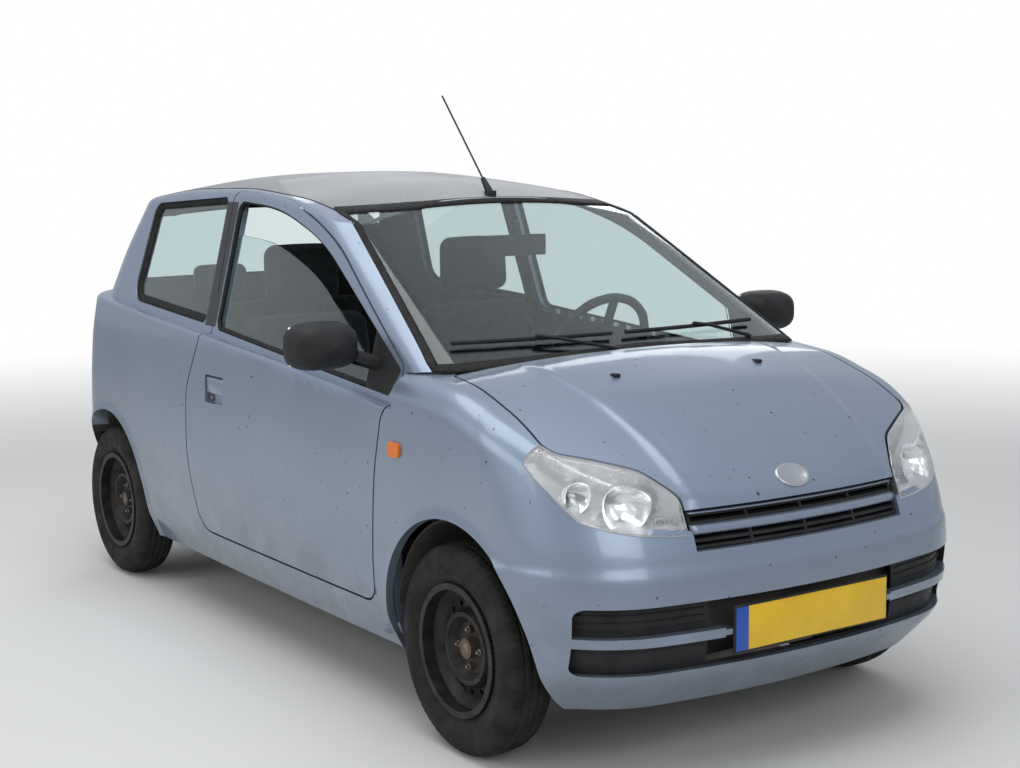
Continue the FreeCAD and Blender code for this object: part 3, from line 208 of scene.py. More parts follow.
# A finish of the table above; dull ones reflect less
def tableFinish(name):
    first, second, spots, metal, rough, height, grain = finishes[name]
    dull = rough > patchy["dullFrom"]
    span = (spots * patchy["finer"], rough * patchy["smoother"], min(1.0, rough * patchy["rougher"]))
    return patchedFinish(name, (first, second), (spots, patchy["detail"]), span,
                         height and (grain, patchy["grainDetail"], patchy["strength"], height),
                         {"Metallic": metal, "Specular IOR Level": patchy["dullSheen" if dull else "sheen"]})


# Name, colours, patches' scale and detail, roughness's scale, low, high and detail, grain's scale, detail, strength
# and height, and the plain values; alpha lets light straight through the lamp glass as well
patched = {
    "window": ("windowGlass", ((0.74, 0.84, 0.84), (0.7178, 0.8148, 0.8148)), (3.0, 4.0), (6.0, 0.0, 0.02, 5.0),
               None, {"Transmission Weight": 1.0, "Alpha": 1.0, "IOR": 1.45}),
    "lampLens": ("lampLens", ((0.97, 0.98, 0.99), (0.9409, 0.9506, 0.9603)), (3.0, 4.0), (6.0, 0.015, 0.035, 5.0),
                 None, {"Transmission Weight": 1.0, "Alpha": 0.3, "IOR": 1.45}),
    "tyre": ("tyreRubber", ((0.012, 0.012, 0.012), (0.032, 0.03, 0.028)), (16.0, 6.0), (30.0, 0.62, 0.9),
             (420.0, 3.0, 0.5, 0.0002), {"Specular IOR Level": 0.2})}

# Name, two colours, where the dirt ends, metal, roughness and coat of the panels' and the roof's paint
# The panels' paint is silver; the blue cast of both its colours is painted sky reflection
paintLook = {"paint": ("silverPaintSkyBlueCast", (0.232, 0.292, 0.382), (0.285, 0.35, 0.445), 0.62, 0.62, 0.38, 0.75),
             # The roof's paint is a neutral grey, less metallic copy of the same silver paint: its grey is painted
             # sky reflection on the top
             "roofPaint": ("roofSkyReflectionPaint", (0.25, 0.26, 0.27), (0.32, 0.33, 0.34), 0.3, 0.1, 0.62, 0.1),
             "dirt": (0.085, 0.08, 0.07), "chip": (0.06, 0.045, 0.035), "chipScale": 62.0,
             "chipSpan": (0.765, 0.785), "flakes": 1400.0, "clouds": 2.2, "sparkle": (0.93, 1.07),
             "dirtFoot": 0.2, "dirtMost": 0.5, "dirtDulls": 0.4, "roughScale": 5.0, "roughSpan": (-0.04, 0.05),
             "coatRough": 0.07, "waves": 3.0, "waveStrength": 0.35, "waveHeight": 0.0012}


# Metallic paint under clear coat, clouded by weather, dusted low down and chipped
def paintFinish(name, first, second, dirtTop, metal, rough, coat):
    look = paintLook
    material, tree, shader = newMaterial(name)
    clouded = mixColours(tree, noiseRange(tree, look["clouds"], detail=4.0), first, second)
    low, high = look["sparkle"]
    flakes = noiseRange(tree, look["flakes"], detail=1.0)
    base = mixColours(tree, 0.5, clouded, mixColours(tree, flakes, darker(first, low), darker(second, high)))
    dirt = dirtShare(tree, look["dirtFoot"], dirtTop, look["dirtMost"])
    base = mixColours(tree, dirt, base, look["dirt"])
    chips = spanned(tree, noise(tree, look["chipScale"], 1.0), look["chipSpan"])
    dull = noiseRange(tree, look["roughScale"], *(rough + change for change in look["roughSpan"]))
    feed(tree, shader, {"Base Color": mixColours(tree, chips, base, look["chip"]), "Metallic": metal,
                        "Roughness": calculate(tree, "MULTIPLY_ADD", dirt, look["dirtDulls"], dull),
                        "Coat Weight": coat, "Coat Roughness": look["coatRough"]})
    waves = noiseRange(tree, look["waves"], detail=2.0)
    bumpFrom(tree, shader, waves, look["waveStrength"], look["waveHeight"])
    return material


tailLook = {"bands": ((0.766, 0.021, "whiteLens"), (0.812, 0.021, "amberLens")), "patches": 10.0, "rough": 0.13,
            "coat": 0.6, "grain": 240.0, "strength": 0.5, "height": 0.0003}


# Tail lamp: red, with a clear band and an amber band between heights of the object
def bandFinish(name):
    look = tailLook
    material, tree, shader = newMaterial(name)
    height = ownHeight(tree)
    colour = mixColours(tree, noiseRange(tree, look["patches"]), *finishes["redLens"][:2])
    for middle, half, finish in look["bands"]:
        inside = calculate(tree, "COMPARE", height, middle, half)
        colour = mixColours(tree, inside, colour, finishes[finish][0])
    feed(tree, shader, {"Base Color": colour, "Roughness": look["rough"], "Coat Weight": look["coat"]})
    bumpFrom(tree, shader, noiseRange(tree, look["grain"]), look["strength"], look["height"])
    return material


clothLook = {"dark": (0.022, 0.023, 0.027), "pale": (0.045, 0.047, 0.055), "patches": 40.0, "threads": 180.0,
             "crooked": 1.5, "rough": 0.92, "fuzz": 0.12, "sheen": 0.2, "strength": 0.5, "height": 0.0006}


# Woven cover: crossing sets of fine waves over patches of colour
def clothFinish(name):
    look = clothLook
    material, tree, shader = newMaterial(name)
    threads = {"Vector": ownPlace(tree), "Scale": look["threads"], "Distortion": look["crooked"]}
    waves = [addNode(tree, "ShaderNodeTexWave", threads, bands_direction=axis).outputs["Fac"]
             for axis in ("X", "Y", "Z")]
    weave = calculate(tree, "ADD", calculate(tree, "ADD", waves[0], waves[1]), waves[2])
    patches = noiseRange(tree, look["patches"], detail=4.0)
    feed(tree, shader, {"Base Color": mixColours(tree, patches, look["dark"], look["pale"]),
                        "Roughness": look["rough"], "Sheen Weight": look["fuzz"],
                        "Specular IOR Level": look["sheen"]})
    bumpFrom(tree, shader, weave, look["strength"], look["height"])
    return material


looks = {name: tableFinish(name) for name in finishes}
looks.update({key: patchedFinish(*row) for key, row in patched.items()})
looks.update({key: paintFinish(*paintLook[key]) for key in ("paint", "roofPaint")})
looks["tailLens"] = bandFinish("tailLens")
looks["seatCloth"] = clothFinish("seatCloth")
print("materials made")

studio = {"floorColour": (0.80, 0.80, 0.79), "floorShade": 0.985, "floorPatches": 0.6, "floorRough": 0.85,
          "floorHalf": 40.0, "fade": (3.0, 9.0),
          "lamps": (("softTop", (0.5, -1.0, 5.2), (0.0, 0.0, 0.4), 6.0, 4.2, 150.0),
                    ("softFront", (6.5, -1.5, 3.4), (1.0, 0.0, 0.6), 4.0, 2.6, 75.0),
                    ("softSide", (-0.5, -6.5, 3.2), (0.0, 0.0, 0.6), 6.0, 2.6, 90.0),
                    ("softBack", (-5.5, 4.5, 3.8), (0.0, 0.0, 0.7), 5.0, 3.0, 80.0)),
          "plain": {"Color": (0.93, 0.96, 1.0, 1.0), "Strength": 0.36},
          "mirrored": {"Color": (0.82, 0.88, 0.97, 1.0), "Strength": 0.6},
          "white": {"Color": (1.0, 1.0, 1.0, 1.0), "Strength": 1.0}}


# Rays that come from the camera, straight or through glass
def seenRays(tree, path):
    return calculate(tree, "MAXIMUM", path.outputs["Is Camera Ray"], path.outputs["Is Transmission Ray"])


def mixShaders(tree, share, first, second):
    return addNode(tree, "ShaderNodeMixShader", {0: share, 1: first, 2: second}).outputs[0]


# White world for the camera and for what glass lets through, pale for what mirrors show, plain light for the rest
def makeWorld():
    world = bpy.data.worlds.new("paleRoom")
    bpy.context.scene.world = world
    world.use_nodes = True
    tree = world.node_tree
    tree.nodes.clear()
    path = addNode(tree, "ShaderNodeLightPath", {})
    plain, mirrored, white = (addNode(tree, "ShaderNodeBackground", studio[key]).outputs[0]
                              for key in ("plain", "mirrored", "white"))
    light = mixShaders(tree, path.outputs["Is Glossy Ray"], plain, mirrored)
    both = mixShaders(tree, seenRays(tree, path), light, white)
    addNode(tree, "ShaderNodeOutputWorld", {0: both}).is_active_output = True


# A pale floor that turns white away from the car where the camera sees it
def makeFloor():
    half = studio["floorHalf"]
    grid = bpy.data.meshes.new("studioFloor")
    grid.from_pydata([(-half, -half, 0), (half, -half, 0), (half, half, 0), (-half, half, 0)], [], [(0, 1, 2, 3)])
    floor = bpy.data.objects.new("studioFloor", grid)
    bpy.context.scene.collection.objects.link(floor)
    material, tree, shader = newMaterial("paleFloor")
    colour, shade = studio["floorColour"], darker(studio["floorColour"], studio["floorShade"])
    feed(tree, shader, {"Base Color": mixColours(tree, noiseRange(tree, studio["floorPatches"]), colour, shade),
                        "Roughness": studio["floorRough"]})
    away = addNode(tree, "ShaderNodeVectorMath", {0: ownPlace(tree)}, operation="LENGTH")
    fade = spanned(tree, away.outputs["Value"], studio["fade"], interpolation_type="SMOOTHSTEP")
    share = calculate(tree, "MULTIPLY", fade, seenRays(tree, addNode(tree, "ShaderNodeLightPath", {})))
    white = addNode(tree, "ShaderNodeEmission", studio["white"])
    out = next(n for n in tree.nodes if n.type == "OUTPUT_MATERIAL")
    feed(tree, out, {"Surface": mixShaders(tree, share, shader.outputs[0], white.outputs[0])})
    grid.materials.append(material)


# Soft square lamps, each turned to face its aim
def makeLamps():
    for name, place, aim, wide, deep, power in studio["lamps"]:
        data = bpy.data.lights.new(name, "AREA")
        data.shape = "RECTANGLE"
        data.size, data.size_y, data.energy = wide, deep, power
        light = bpy.data.objects.new(name, data)
        away = unit(np.array(place) - np.array(aim))
        side = unit(np.cross((0.0, 0.0, 1.0), away))
        up = np.cross(away, side)
        light.matrix_world = Matrix([[side[i], up[i], away[i], place[i]] for i in range(3)] + [[0, 0, 0, 1]])
        bpy.context.scene.collection.objects.link(light)


makeCamera()
makeWorld()
makeFloor()
makeLamps()
print("camera and studio set")

# Plan outlines by height: front end, its radius and corner, half width, rear end, its radius and corner
lowerPlans = np.array((
    (200, 1600, 2300, 300, 672, -1590, 2600, 260), (300, 1692, 2300, 310, 718, -1688, 2600, 260),
    (440, 1705, 2300, 310, 733, -1705, 2600, 260), (580, 1690, 2300, 310, 737, -1698, 2600, 260),
    (740, 1625, 2300, 310, 736, -1688, 2600, 260), (900, 1560, 2300, 310, 729, -1672, 2600, 260),
    (1080, 1500, 2300, 310, 708, -1636, 2600, 260)), float)
upperPlans = np.array((
    (840, 1300, 2300, 140, 711, -1678, 2400, 240), (1000, 1012, 2300, 140, 671, -1638, 2400, 240),
    (1200, 652, 2200, 140, 617, -1545, 2200, 230), (1400, 292, 2000, 140, 563, -1400, 2000, 220),
    (1560, 4, 2000, 140, 520, -1240, 2000, 210)), float)
roofLine = np.array(((-1800, 1350), (-1300, 1452), (-900, 1492), (-400, 1500), (0, 1470), (265, 1418),
                     (700, 1295), (1500, 950)), float)
beltLine = np.array(((-1800, 1072), (-1163, 1030), (-432, 985), (72, 955), (900, 884), (1400, 850)), float)
bonnetLine = np.array(((560, 1000), (876, 1025), (1100, 1002), (1300, 937), (1480, 837), (1620, 723),
                       (1760, 560)), float)
# Crown and edge radius of the tops that the three lines carry
crowns = {"roof": (2600.0, 40.0), "belt": (30000.0, 14.0), "bonnet": (4600.0, 80.0)}
bodyForm = {"sideRadius": 60000.0, "widest": -100.0, "beltSlack": 12.0, "flattest": 0.995, "even": 30.0,
            "footEven": 11.0, "footZ": (270.0, 340.0), "lineEven": 60.0, "bonnetEven": 40.0, "tableStep": 5.0,
            "margin": 600.0, "sideStep": 4.0, "topStep": 2.0}


# Straight runs between the rows, carried on past both ends and evened out over a short window; columns are looked
# up by the first one
def evened(rows, spread):
    step, margin = bodyForm["tableStep"], bodyForm["margin"]
    steps = np.arange(rows[0, 0] - margin, rows[-1, 0] + margin, step)
    window = np.exp(-0.5 * (np.arange(-3 * spread, 3 * spread + 1, step) / spread) ** 2)
    window /= window.sum()
    first = (rows[1] - rows[0]) / (rows[1, 0] - rows[0, 0])
    last = (rows[-1] - rows[-2]) / (rows[-1, 0] - rows[-2, 0])
    table = [steps]
    for column in range(1, rows.shape[1]):
        values = np.interp(steps, rows[:, 0], rows[:, column])
        values += np.where(steps < rows[0, 0], (steps - rows[0, 0]) * first[column], 0)
        values += np.where(steps > rows[-1, 0], (steps - rows[-1, 0]) * last[column], 0)
        before = values[0] + np.arange(-len(window) // 2 + 1, 1) * (values[1] - values[0])
        after = values[-1] + np.arange(1, len(window) // 2 + 1) * (values[-1] - values[-2])
        padded = np.concatenate((before, values, after))
        smooth = np.convolve(padded, window, "same")
        start = (len(padded) - len(values)) // 2
        table.append(smooth[start:start + len(values)])
    return table


# Evened less near the foot, where the body turns under
def footKept(rows):
    soft, crisp = evened(rows, bodyForm["even"]), evened(rows, bodyForm["footEven"])
    low, high = bodyForm["footZ"]
    share = np.clip((high - soft[0]) / (high - low), 0, 1)
    return [soft[0]] + [a + (b - a) * share for a, b in zip(soft[1:], crisp[1:])]


formTables = {"low": footKept(lowerPlans), "up": evened(upperPlans, bodyForm["even"]),
              "roof": evened(roofLine, bodyForm["lineEven"]), "belt": evened(beltLine, bodyForm["lineEven"]),
              "bonnet": evened(bonnetLine, bodyForm["bonnetEven"])}


def lookUp(name, at):
    table = formTables[name]
    return [np.interp(at, table[0], column) for column in table[1:]]


# Distance to a plan outline of tangent arcs: to the corner's arc inside its sector, else to the end's or the side's
def planDistance(name, x, y, z):
    front, frontR, cornerR, half, rear, rearR, rearCornerR = lookUp(name, z)
    y = np.abs(y)
    sideR, widest = bodyForm["sideRadius"], bodyForm["widest"]
    sideY = half - sideR
    best = None
    for sign, end, endR, roundR in ((1, front, frontR, cornerR), (-1, rear, rearR, rearCornerR)):
        endX = end - sign * endR
        dx, dy = widest - endX, sideY
        apart = np.hypot(dx, dy)
        r1, r2 = endR - roundR, sideR - roundR
        along = (r1 ** 2 - r2 ** 2 + apart ** 2) / (2 * apart)
        off = np.sqrt(np.maximum(r1 ** 2 - along ** 2, 0))
        footX, footY = endX + along * dx / apart, along * dy / apart
        cx, cy = footX - sign * off * dy / apart, footY + sign * off * dx / apart
        toEnd = np.hypot(x - endX, y) - endR
        toSide = np.hypot(x - widest, y - sideY) - sideR
        toCorner = np.hypot(x - cx, y - cy) - roundR
        endSide = (cx - endX) * (y - cy) - cy * (x - cx)
        sideSide = (cx - widest) * (y - cy) - (cy - sideY) * (x - cx)
        inEnd = sign * endSide < 0
        inSide = sign * sideSide > 0
        value = np.where(inEnd, toEnd, np.where(inSide, toSide, toCorner))
        fromX = np.where(inEnd, endX, np.where(inSide, widest, cx))
        fromY = np.where(inEnd, 0, np.where(inSide, sideY, cy))
        away = np.stack((x - fromX, y - fromY))
        away = away / np.maximum(np.hypot(away[0], away[1]), 1e-9)
        if best is None:
            best, direction = value, away
        else:
            best = np.where(x > widest, best, value)
            direction = np.where(x > widest, direction, away)
    return best, direction


# The side as a distance square to it, with its unit normal; its slope comes from the outline a little higher
def sidePart(name, x, y, z):
    level, direction = planDistance(name, x, y, z)
    slope = (planDistance(name, x, y, z + bodyForm["sideStep"])[0] - level) / bodyForm["sideStep"]
    size = np.sqrt(1 + slope ** 2)
    return level / size, np.stack((direction[0], direction[1] * np.where(y < 0, -1, 1), slope)) / size


# The top, an arc across the car at each place along it, as a distance square to it, with its unit normal
def topPart(name, crown, x, y, z):
    height = lookUp(name, x)[0]
    slope = (lookUp(name, x + bodyForm["topStep"])[0] - height) / bodyForm["topStep"]
    root = np.sqrt(np.maximum(crown ** 2 - y ** 2, 1))
    across = y / root
    size = np.sqrt(1 + slope ** 2 + across ** 2)
    level = z - (height - crown + root)
    return level / size, np.stack((-slope, across, np.ones_like(across + slope))) / size


# Two surfaces joined by a rolled edge of a radius, at whatever angle they meet
def rolled(first, second, radius):
    (a, normalA), (b, normalB) = first, second
    c = np.clip((normalA * normalB).sum(0), -bodyForm["flattest"], bodyForm["flattest"])
    u, v = a + radius, b + radius
    away = np.sqrt(np.maximum(u * u + v * v - 2 * c * u * v, 0) / (1 - c * c))
    return np.where((u > c * v) & (v > c * u), away - radius, np.maximum(a, b))


arches = {"frontX": 1121.0, "rearX": -1269.0, "centreZ": 287.0, "radius": 338.0, "lip": 5.0, "reach": 34.0,
          "fade": 1.5}


# Rolled lip round the wheel openings, proud of the side by a few millimetres and fading outwards
def archLip(x, z):
    rise = 0
    for centre in (arches["frontX"], arches["rearX"]):
        away = np.hypot(x - centre, z - arches["centreZ"]) - arches["radius"]
        rise = rise + arches["lip"] * np.clip(1 - np.maximum(away, 0) / arches["reach"], 0, 1) ** arches["fade"]
    return rise


bonnetShape = {"rise": 5.5, "creaseRear": (1000.0, 420.0), "creaseFront": (1600.0, 330.0), "width": 26.0,
               "crest": 2.2, "crestWide": 0.6, "fadeFrom": 980.0, "fadeOver": 140.0}


# The bonnet's middle field stands a little higher, between two soft creases that run to the grille's ends
def bonnetRise(x, y):
    shape = bonnetShape
    (rearX, rearY), (frontX, frontY) = shape["creaseRear"], shape["creaseFront"]
    line = rearY + (frontY - rearY) * (x - rearX) / (frontX - rearX)
    inside = 0.5 - 0.5 * np.tanh((np.abs(y) - line) / shape["width"])
    crest = np.exp(-((np.abs(y) - line) / (shape["crestWide"] * shape["width"])) ** 2)
    fade = np.clip((x - shape["fadeFrom"]) / shape["fadeOver"], 0, 1)
    return (shape["rise"] * inside + shape["crest"] * crest) * fade


bumperShape = {"ledgeZ": 556.0, "ledge": 7.0, "soft": 12.0}


# The bumper's upper ledge: the face steps out below a line
def bumperRise(z):
    return bumperShape["ledge"] * (0.5 - 0.5 * np.tanh((z - bumperShape["ledgeZ"]) / bumperShape["soft"]))


# A side and a crowned top joined by a rolled edge, as a level: negative inside, zero on the surface
def sideAndTop(plan, line, p):
    crown, edge = crowns[line]
    return rolled(sidePart(plan, *p), topPart(line, crown, *p), edge)


# The body below the belt line, with the arches' lips
def lowForm(p):
    return sideAndTop("low", "belt", p) - archLip(p[0], p[2])


# The cabin above the belt line, up to the roof
def upForm(p):
    return sideAndTop("up", "roof", p)


# The nose below the bonnet's line, with the arches' lips
def wingForm(p):
    return sideAndTop("low", "bonnet", p) - archLip(p[0], p[2])


# The nose with the bonnet's raised field
def bonnetForm(p):
    return wingForm(p) - bonnetRise(p[0], p[1])


# The nose with the bumper's ledge
def bumperForm(p):
    return wingForm(p) - bumperRise(p[2])


# Gradient of a form by central differences
def formGradient(form, p):
    slope = np.empty_like(p)
    for axis in range(3):
        step = np.zeros((3, 1))
        step[axis] = 1.0
        slope[axis] = (form(p + step) - form(p - step)) / 2
    return slope


# Points moved along the gradient until they lie on the form's level
def ontoForm(form, p, level=0.0, rounds=4, most=14.0):
    start = p.copy()
    for _ in range(rounds):
        slope = formGradient(form, p)
        size = np.maximum((slope ** 2).sum(0), 1e-6)
        p = p - (form(p) - level) * slope / size
    move = p - start
    length = np.linalg.norm(move, axis=0)
    return start + move * np.minimum(1, most / np.maximum(length, 1e-9))


# Levels of the glass's two faces below the body's form; the second of each pair faces inwards
glassLevels = {"screen": (-3.0, -8.0), "side": (-16.0, -20.0)}
innerLevels = [pair[1] for pair in glassLevels.values()]


# A piece from a mesh: it rides on a body and keeps the material that each face had chosen
def linkPiece(name, mesh, body, materials):
    piece = bpy.data.objects.new(name, mesh)
    bpy.context.scene.collection.objects.link(piece)
    chosen = np.zeros(len(mesh.polygons), int)
    mesh.polygons.foreach_get("material_index", chosen)
    mesh.materials.clear()
    for material in materials:
        mesh.materials.append(looks[material])
    mesh.polygons.foreach_set("material_index", np.minimum(chosen, len(materials) - 1))
    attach(piece, body)
    return piece


def readAll(items, key, wide=1, kind=float):
    values = np.empty(len(items) * wide, kind)
    items.foreach_get(key, values)
    return values.reshape(-1, wide).T if wide > 1 else values


# A mesh's points, its faces' corners, how many corners each has, its faces' normals and middles, in millimetres
def arrays(mesh):
    return (readAll(mesh.vertices, "co", 3) / mm, readAll(mesh.loops, "vertex_index", kind=int),
            readAll(mesh.polygons, "loop_total", kind=int), readAll(mesh.polygons, "normal", 3),
            readAll(mesh.polygons, "center", 3) / mm)


def placePoints(mesh, points):
    mesh.vertices.foreach_set("co", (points.T * mm).ravel())
    mesh.update()


# A copy of a CAD node's mesh and its editable form, with the points of neighbouring faces joined
def mergedCopy(node, gap=0.02):
    mesh = cadNodes[node].data.copy()
    work = bmesh.new()
    work.from_mesh(mesh)
    bmesh.ops.remove_doubles(work, verts=work.verts, dist=gap * mm)
    return mesh, work


# Which faces lie on one of the skins: close to its level and square to it; a skin below the surface is taken
# with the side that it faces
def facesOnSkins(mesh, skins, reach, likeness=0.7):
    normals, middles = arrays(mesh)[3:]
    owner = np.full(len(mesh.polygons), -1)
    nearest = np.full(len(mesh.polygons), reach)
    for index, (form, level) in enumerate(skins):
        away = np.abs(form(middles) - level)
        slope = unit(formGradient(form, middles))
        agree = (slope * normals).sum(0) * (-1 if level in innerLevels else 1)
        found = (away < nearest) & (agree > likeness)
        if form is upForm:
            found &= middles[2] > lookUp("belt", middles[0])[0] - bodyForm["beltSlack"]
        owner[found] = index
        nearest[found] = away[found]
    return owner


panelShape = {"longest": 42.0, "archLongest": 26.0, "bonnetLongest": 20.0, "bumperLongest": 17.0,
              "lampLongest": 24.0, "mostMove": 14.0, "inwards": -0.3, "level": ("roof_panel", "bonnet")}


# A painted or glass panel from its CAD node: the faces on the body's form are divided and laid on the evened form,
# their normals are the form's gradient, and the remaining faces keep their own
def dressPanel(node, skins, materials, longest, reach=17.0, passes=5):
    mesh, work = mergedCopy(node)
    work.to_mesh(mesh)
    owner = facesOnSkins(mesh, skins, reach)
    work.faces.ensure_lookup_table()
    for _ in range(passes):
        picked = {e for f, o in zip(work.faces, owner) if o >= 0 for e in f.edges if e.calc_length() > longest * mm}
        if not picked:
            break
        bmesh.ops.subdivide_edges(work, edges=list(picked), cuts=1, use_grid_fill=False)
        bmesh.ops.triangulate(work, faces=[f for f in work.faces if len(f.verts) > 4])
        work.to_mesh(mesh)
        work.faces.ensure_lookup_table()
        owner = facesOnSkins(mesh, skins, reach)
    bmesh.ops.triangulate(work, faces=work.faces)
    work.to_mesh(mesh)
    work.free()
    owner = facesOnSkins(mesh, skins, reach)
    points, corners, counts = arrays(mesh)[:3]
    face = np.repeat(np.arange(len(counts)), counts)
    moved = points.copy()
    for index, (form, level) in enumerate(skins):
        own = np.unique(corners[owner[face] == index])
        others = np.unique(corners[(owner[face] >= 0) & (owner[face] != index)])
        own = np.setdiff1d(own, others)
        if len(own):
            moved[:, own] = ontoForm(form, points[:, own], level, most=max(reach, panelShape["mostMove"]))
    placePoints(mesh, moved)
    points, corners, counts, normals, middles = arrays(mesh)
    split = normals[:, face]
    for index, (form, _) in enumerate(skins):
        mine = owner[face] == index
        if mine.any():
            slope = unit(formGradient(form, points[:, corners[mine]]))
            split[:, mine] = slope * np.sign((slope * normals[:, face[mine]]).sum(0))
    if len(materials) > 1:
        outward = planDistance("low", *middles)[1]
        across = normals[0] * outward[0] + normals[1] * np.sign(middles[1]) * outward[1]
        inwards = (normals[2] if node in panelShape["level"] else across) < panelShape["inwards"]
        mesh.polygons.foreach_set("material_index", (inwards & (owner < 0)).astype(int))
    mesh.polygons.foreach_set("use_smooth", np.ones(len(counts), bool))
    mesh.normals_split_custom_set(split.T.tolist())
    piece = linkPiece(node + "_skin", mesh, nodeBody[node], materials)
    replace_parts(piece, node)


# Curved faces shaded smooth, edges sharper than the crease kept sharp
def shadeSmooth(mesh, work, crease):
    for f in work.faces:
        f.smooth = True
    for edge in work.edges:
        edge.smooth = len(edge.link_faces) == 2 and edge.calc_face_angle() < math.radians(crease)
    work.to_mesh(mesh)
    work.free()


# A merged copy of a CAD node with its own shape
def smoothCopy(node, material, crease=32.0):
    mesh, work = mergedCopy(node)
    shadeSmooth(mesh, work, crease)
    piece = linkPiece(node + "_looks", mesh, nodeBody[node], [material])
    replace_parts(piece, node)


# A grid of points as a mesh; wrap closes it along the first or the second direction
def gridMesh(name, points, wrapU=False, wrapV=False, smooth=True, flip=False):
    rows, columns = points.shape[1:]
    u = np.arange(rows if wrapU else rows - 1)
    v = np.arange(columns if wrapV else columns - 1)
    uu, vv = np.meshgrid(u, v, indexing="ij")
    here, ahead, vn = uu * columns, (uu + 1) % rows * columns, (vv + 1) % columns
    quads = np.stack((here + vv, ahead + vv, ahead + vn, here + vn), -1).reshape(-1, 4)
    if flip:
        quads = quads[:, ::-1]
    mesh = bpy.data.meshes.new(name)
    mesh.from_pydata((points.reshape(3, -1).T * mm).tolist(), [], quads.tolist())
    mesh.polygons.foreach_set("use_smooth", np.full(len(quads), smooth))
    return mesh


def joinMeshes(name, meshes):
    points, faces, smooth = [], [], []
    for mesh in meshes:
        faces += [[len(points) + i for i in f.vertices] for f in mesh.polygons]
        smooth += [f.use_smooth for f in mesh.polygons]
        points += [v.co[:] for v in mesh.vertices]
    joined = bpy.data.meshes.new(name)
    joined.from_pydata(points, [], faces)
    joined.polygons.foreach_set("use_smooth", smooth)
    return joined


# A profile of distances and radii turned round an axis, closed at both ends on the axis
def turned(name, profile, centre, axis, count=32, smooth=True):
    axis = unit(np.array(axis, float))
    side = unit(np.cross(axis, (0.3, 0.2, 1.0) if abs(axis[2]) < 0.9 else (1.0, 0.0, 0.0)))
    other = np.cross(axis, side)
    profile = np.array(profile, float)
    angle = np.linspace(0, 2 * np.pi, count, endpoint=False)
    ring = side[:, None] * np.cos(angle) + other[:, None] * np.sin(angle)
    points = (np.array(centre, float)[:, None, None] + axis[:, None, None] * profile[None, :, 0, None]
              + ring[:, None, :] * profile[None, :, 1, None])
    return gridMesh(name, points, wrapV=True, smooth=smooth, flip=True)


tubeEnd = 0.05


# A tube along a smooth path: rings square to the path, ends closed to a point
def tubeMesh(name, path, radius, count=10):
    path = np.array(path, float).T
    along = unit(np.gradient(path, axis=1))
    guide = np.array((0.13, 0.21, 0.97))[:, None]
    side = unit(np.cross(along, guide, axis=0))
    other = np.cross(along, side, axis=0)
    path, side, other = (np.concatenate((a[:, :1], a, a[:, -1:]), 1)[:, :, None] for a in (path, side, other))
    radii = np.full((path.shape[1], 1), float(radius))
    radii[[0, -1]] = tubeEnd
    angle = np.linspace(0, 2 * np.pi, count, endpoint=False)
    points = path + radii * (side * np.cos(angle) + other * np.sin(angle))
    return gridMesh(name, points, wrapV=True, flip=True)


# Corners rounded by arcs of their radii, as a closed row of points
def roundedCorners(rows, steps=8):
    rows = np.array(rows, float)
    found = []
    for i in range(len(rows)):
        before, here, after = rows[i - 1], rows[i], rows[(i + 1) % len(rows)]
        a, b = unit(before[:2] - here[:2]), unit(after[:2] - here[:2])
        half = math.acos(max(-1.0, min(1.0, float(a @ b)))) / 2
        if here[2] <= 0:
            found.append(here[:2][None])
            continue
        back = here[2] / math.tan(half)
        centre = here[:2] + unit(a + b) * here[2] / math.sin(half)
        start, end = here[:2] + a * back - centre, here[:2] + b * back - centre
        turn = np.linspace(0, 1, steps)[:, None]
        sweep = start * (1 - turn) + end * turn
        found.append(centre + sweep / np.linalg.norm(sweep, axis=1)[:, None] * here[2])
    return np.concatenate(found)


# The same row of points at even steps
def evenSteps(row, step):
    closed = np.concatenate((row, row[:1]))
    along = np.concatenate(([0], np.cumsum(np.linalg.norm(np.diff(closed, axis=0), axis=1))))
    count = max(8, int(along[-1] / step))
    at = np.linspace(0, along[-1], count, endpoint=False)
    return np.stack([np.interp(at, along, closed[:, k]) for k in range(2)], 1)


# One coordinate found by halving, so that the point lies on a form's level; the form is below the level at low
def solveAlong(form, level, p, axis, low, high, rounds=26):
    p = np.array(p, float)
    a, b = np.full(p.shape[1], float(low)), np.full(p.shape[1], float(high))
    for _ in range(rounds):
        p[axis] = (a + b) / 2
        inside = form(p) < level
        a, b = np.where(inside, p[axis], a), np.where(inside, b, p[axis])
    p[axis] = (a + b) / 2
    return p


def spotOn(form, level, p, axis, span):
    return solveAlong(form, level, np.array(p, float)[:, None], axis, *span)[:, 0]


def outwards(mesh):
    work = bmesh.new()
    work.from_mesh(mesh)
    bmesh.ops.recalc_face_normals(work, faces=work.faces)
    work.to_mesh(mesh)
    work.free()
    return mesh


# An open grid's copy, closed by a flat face over each end
def capped(mesh, ends):
    faces = [list(f.vertices) for f in mesh.polygons] + ends
    closed = bpy.data.meshes.new(mesh.name)
    closed.from_pydata([v.co[:] for v in mesh.vertices], [], faces)
    closed.polygons.foreach_set("use_smooth", np.ones(len(faces), bool))
    return outwards(closed)


softBoxShape = {"largest": 0.98, "from": 2.0, "to": 88.0, "steps": 3}


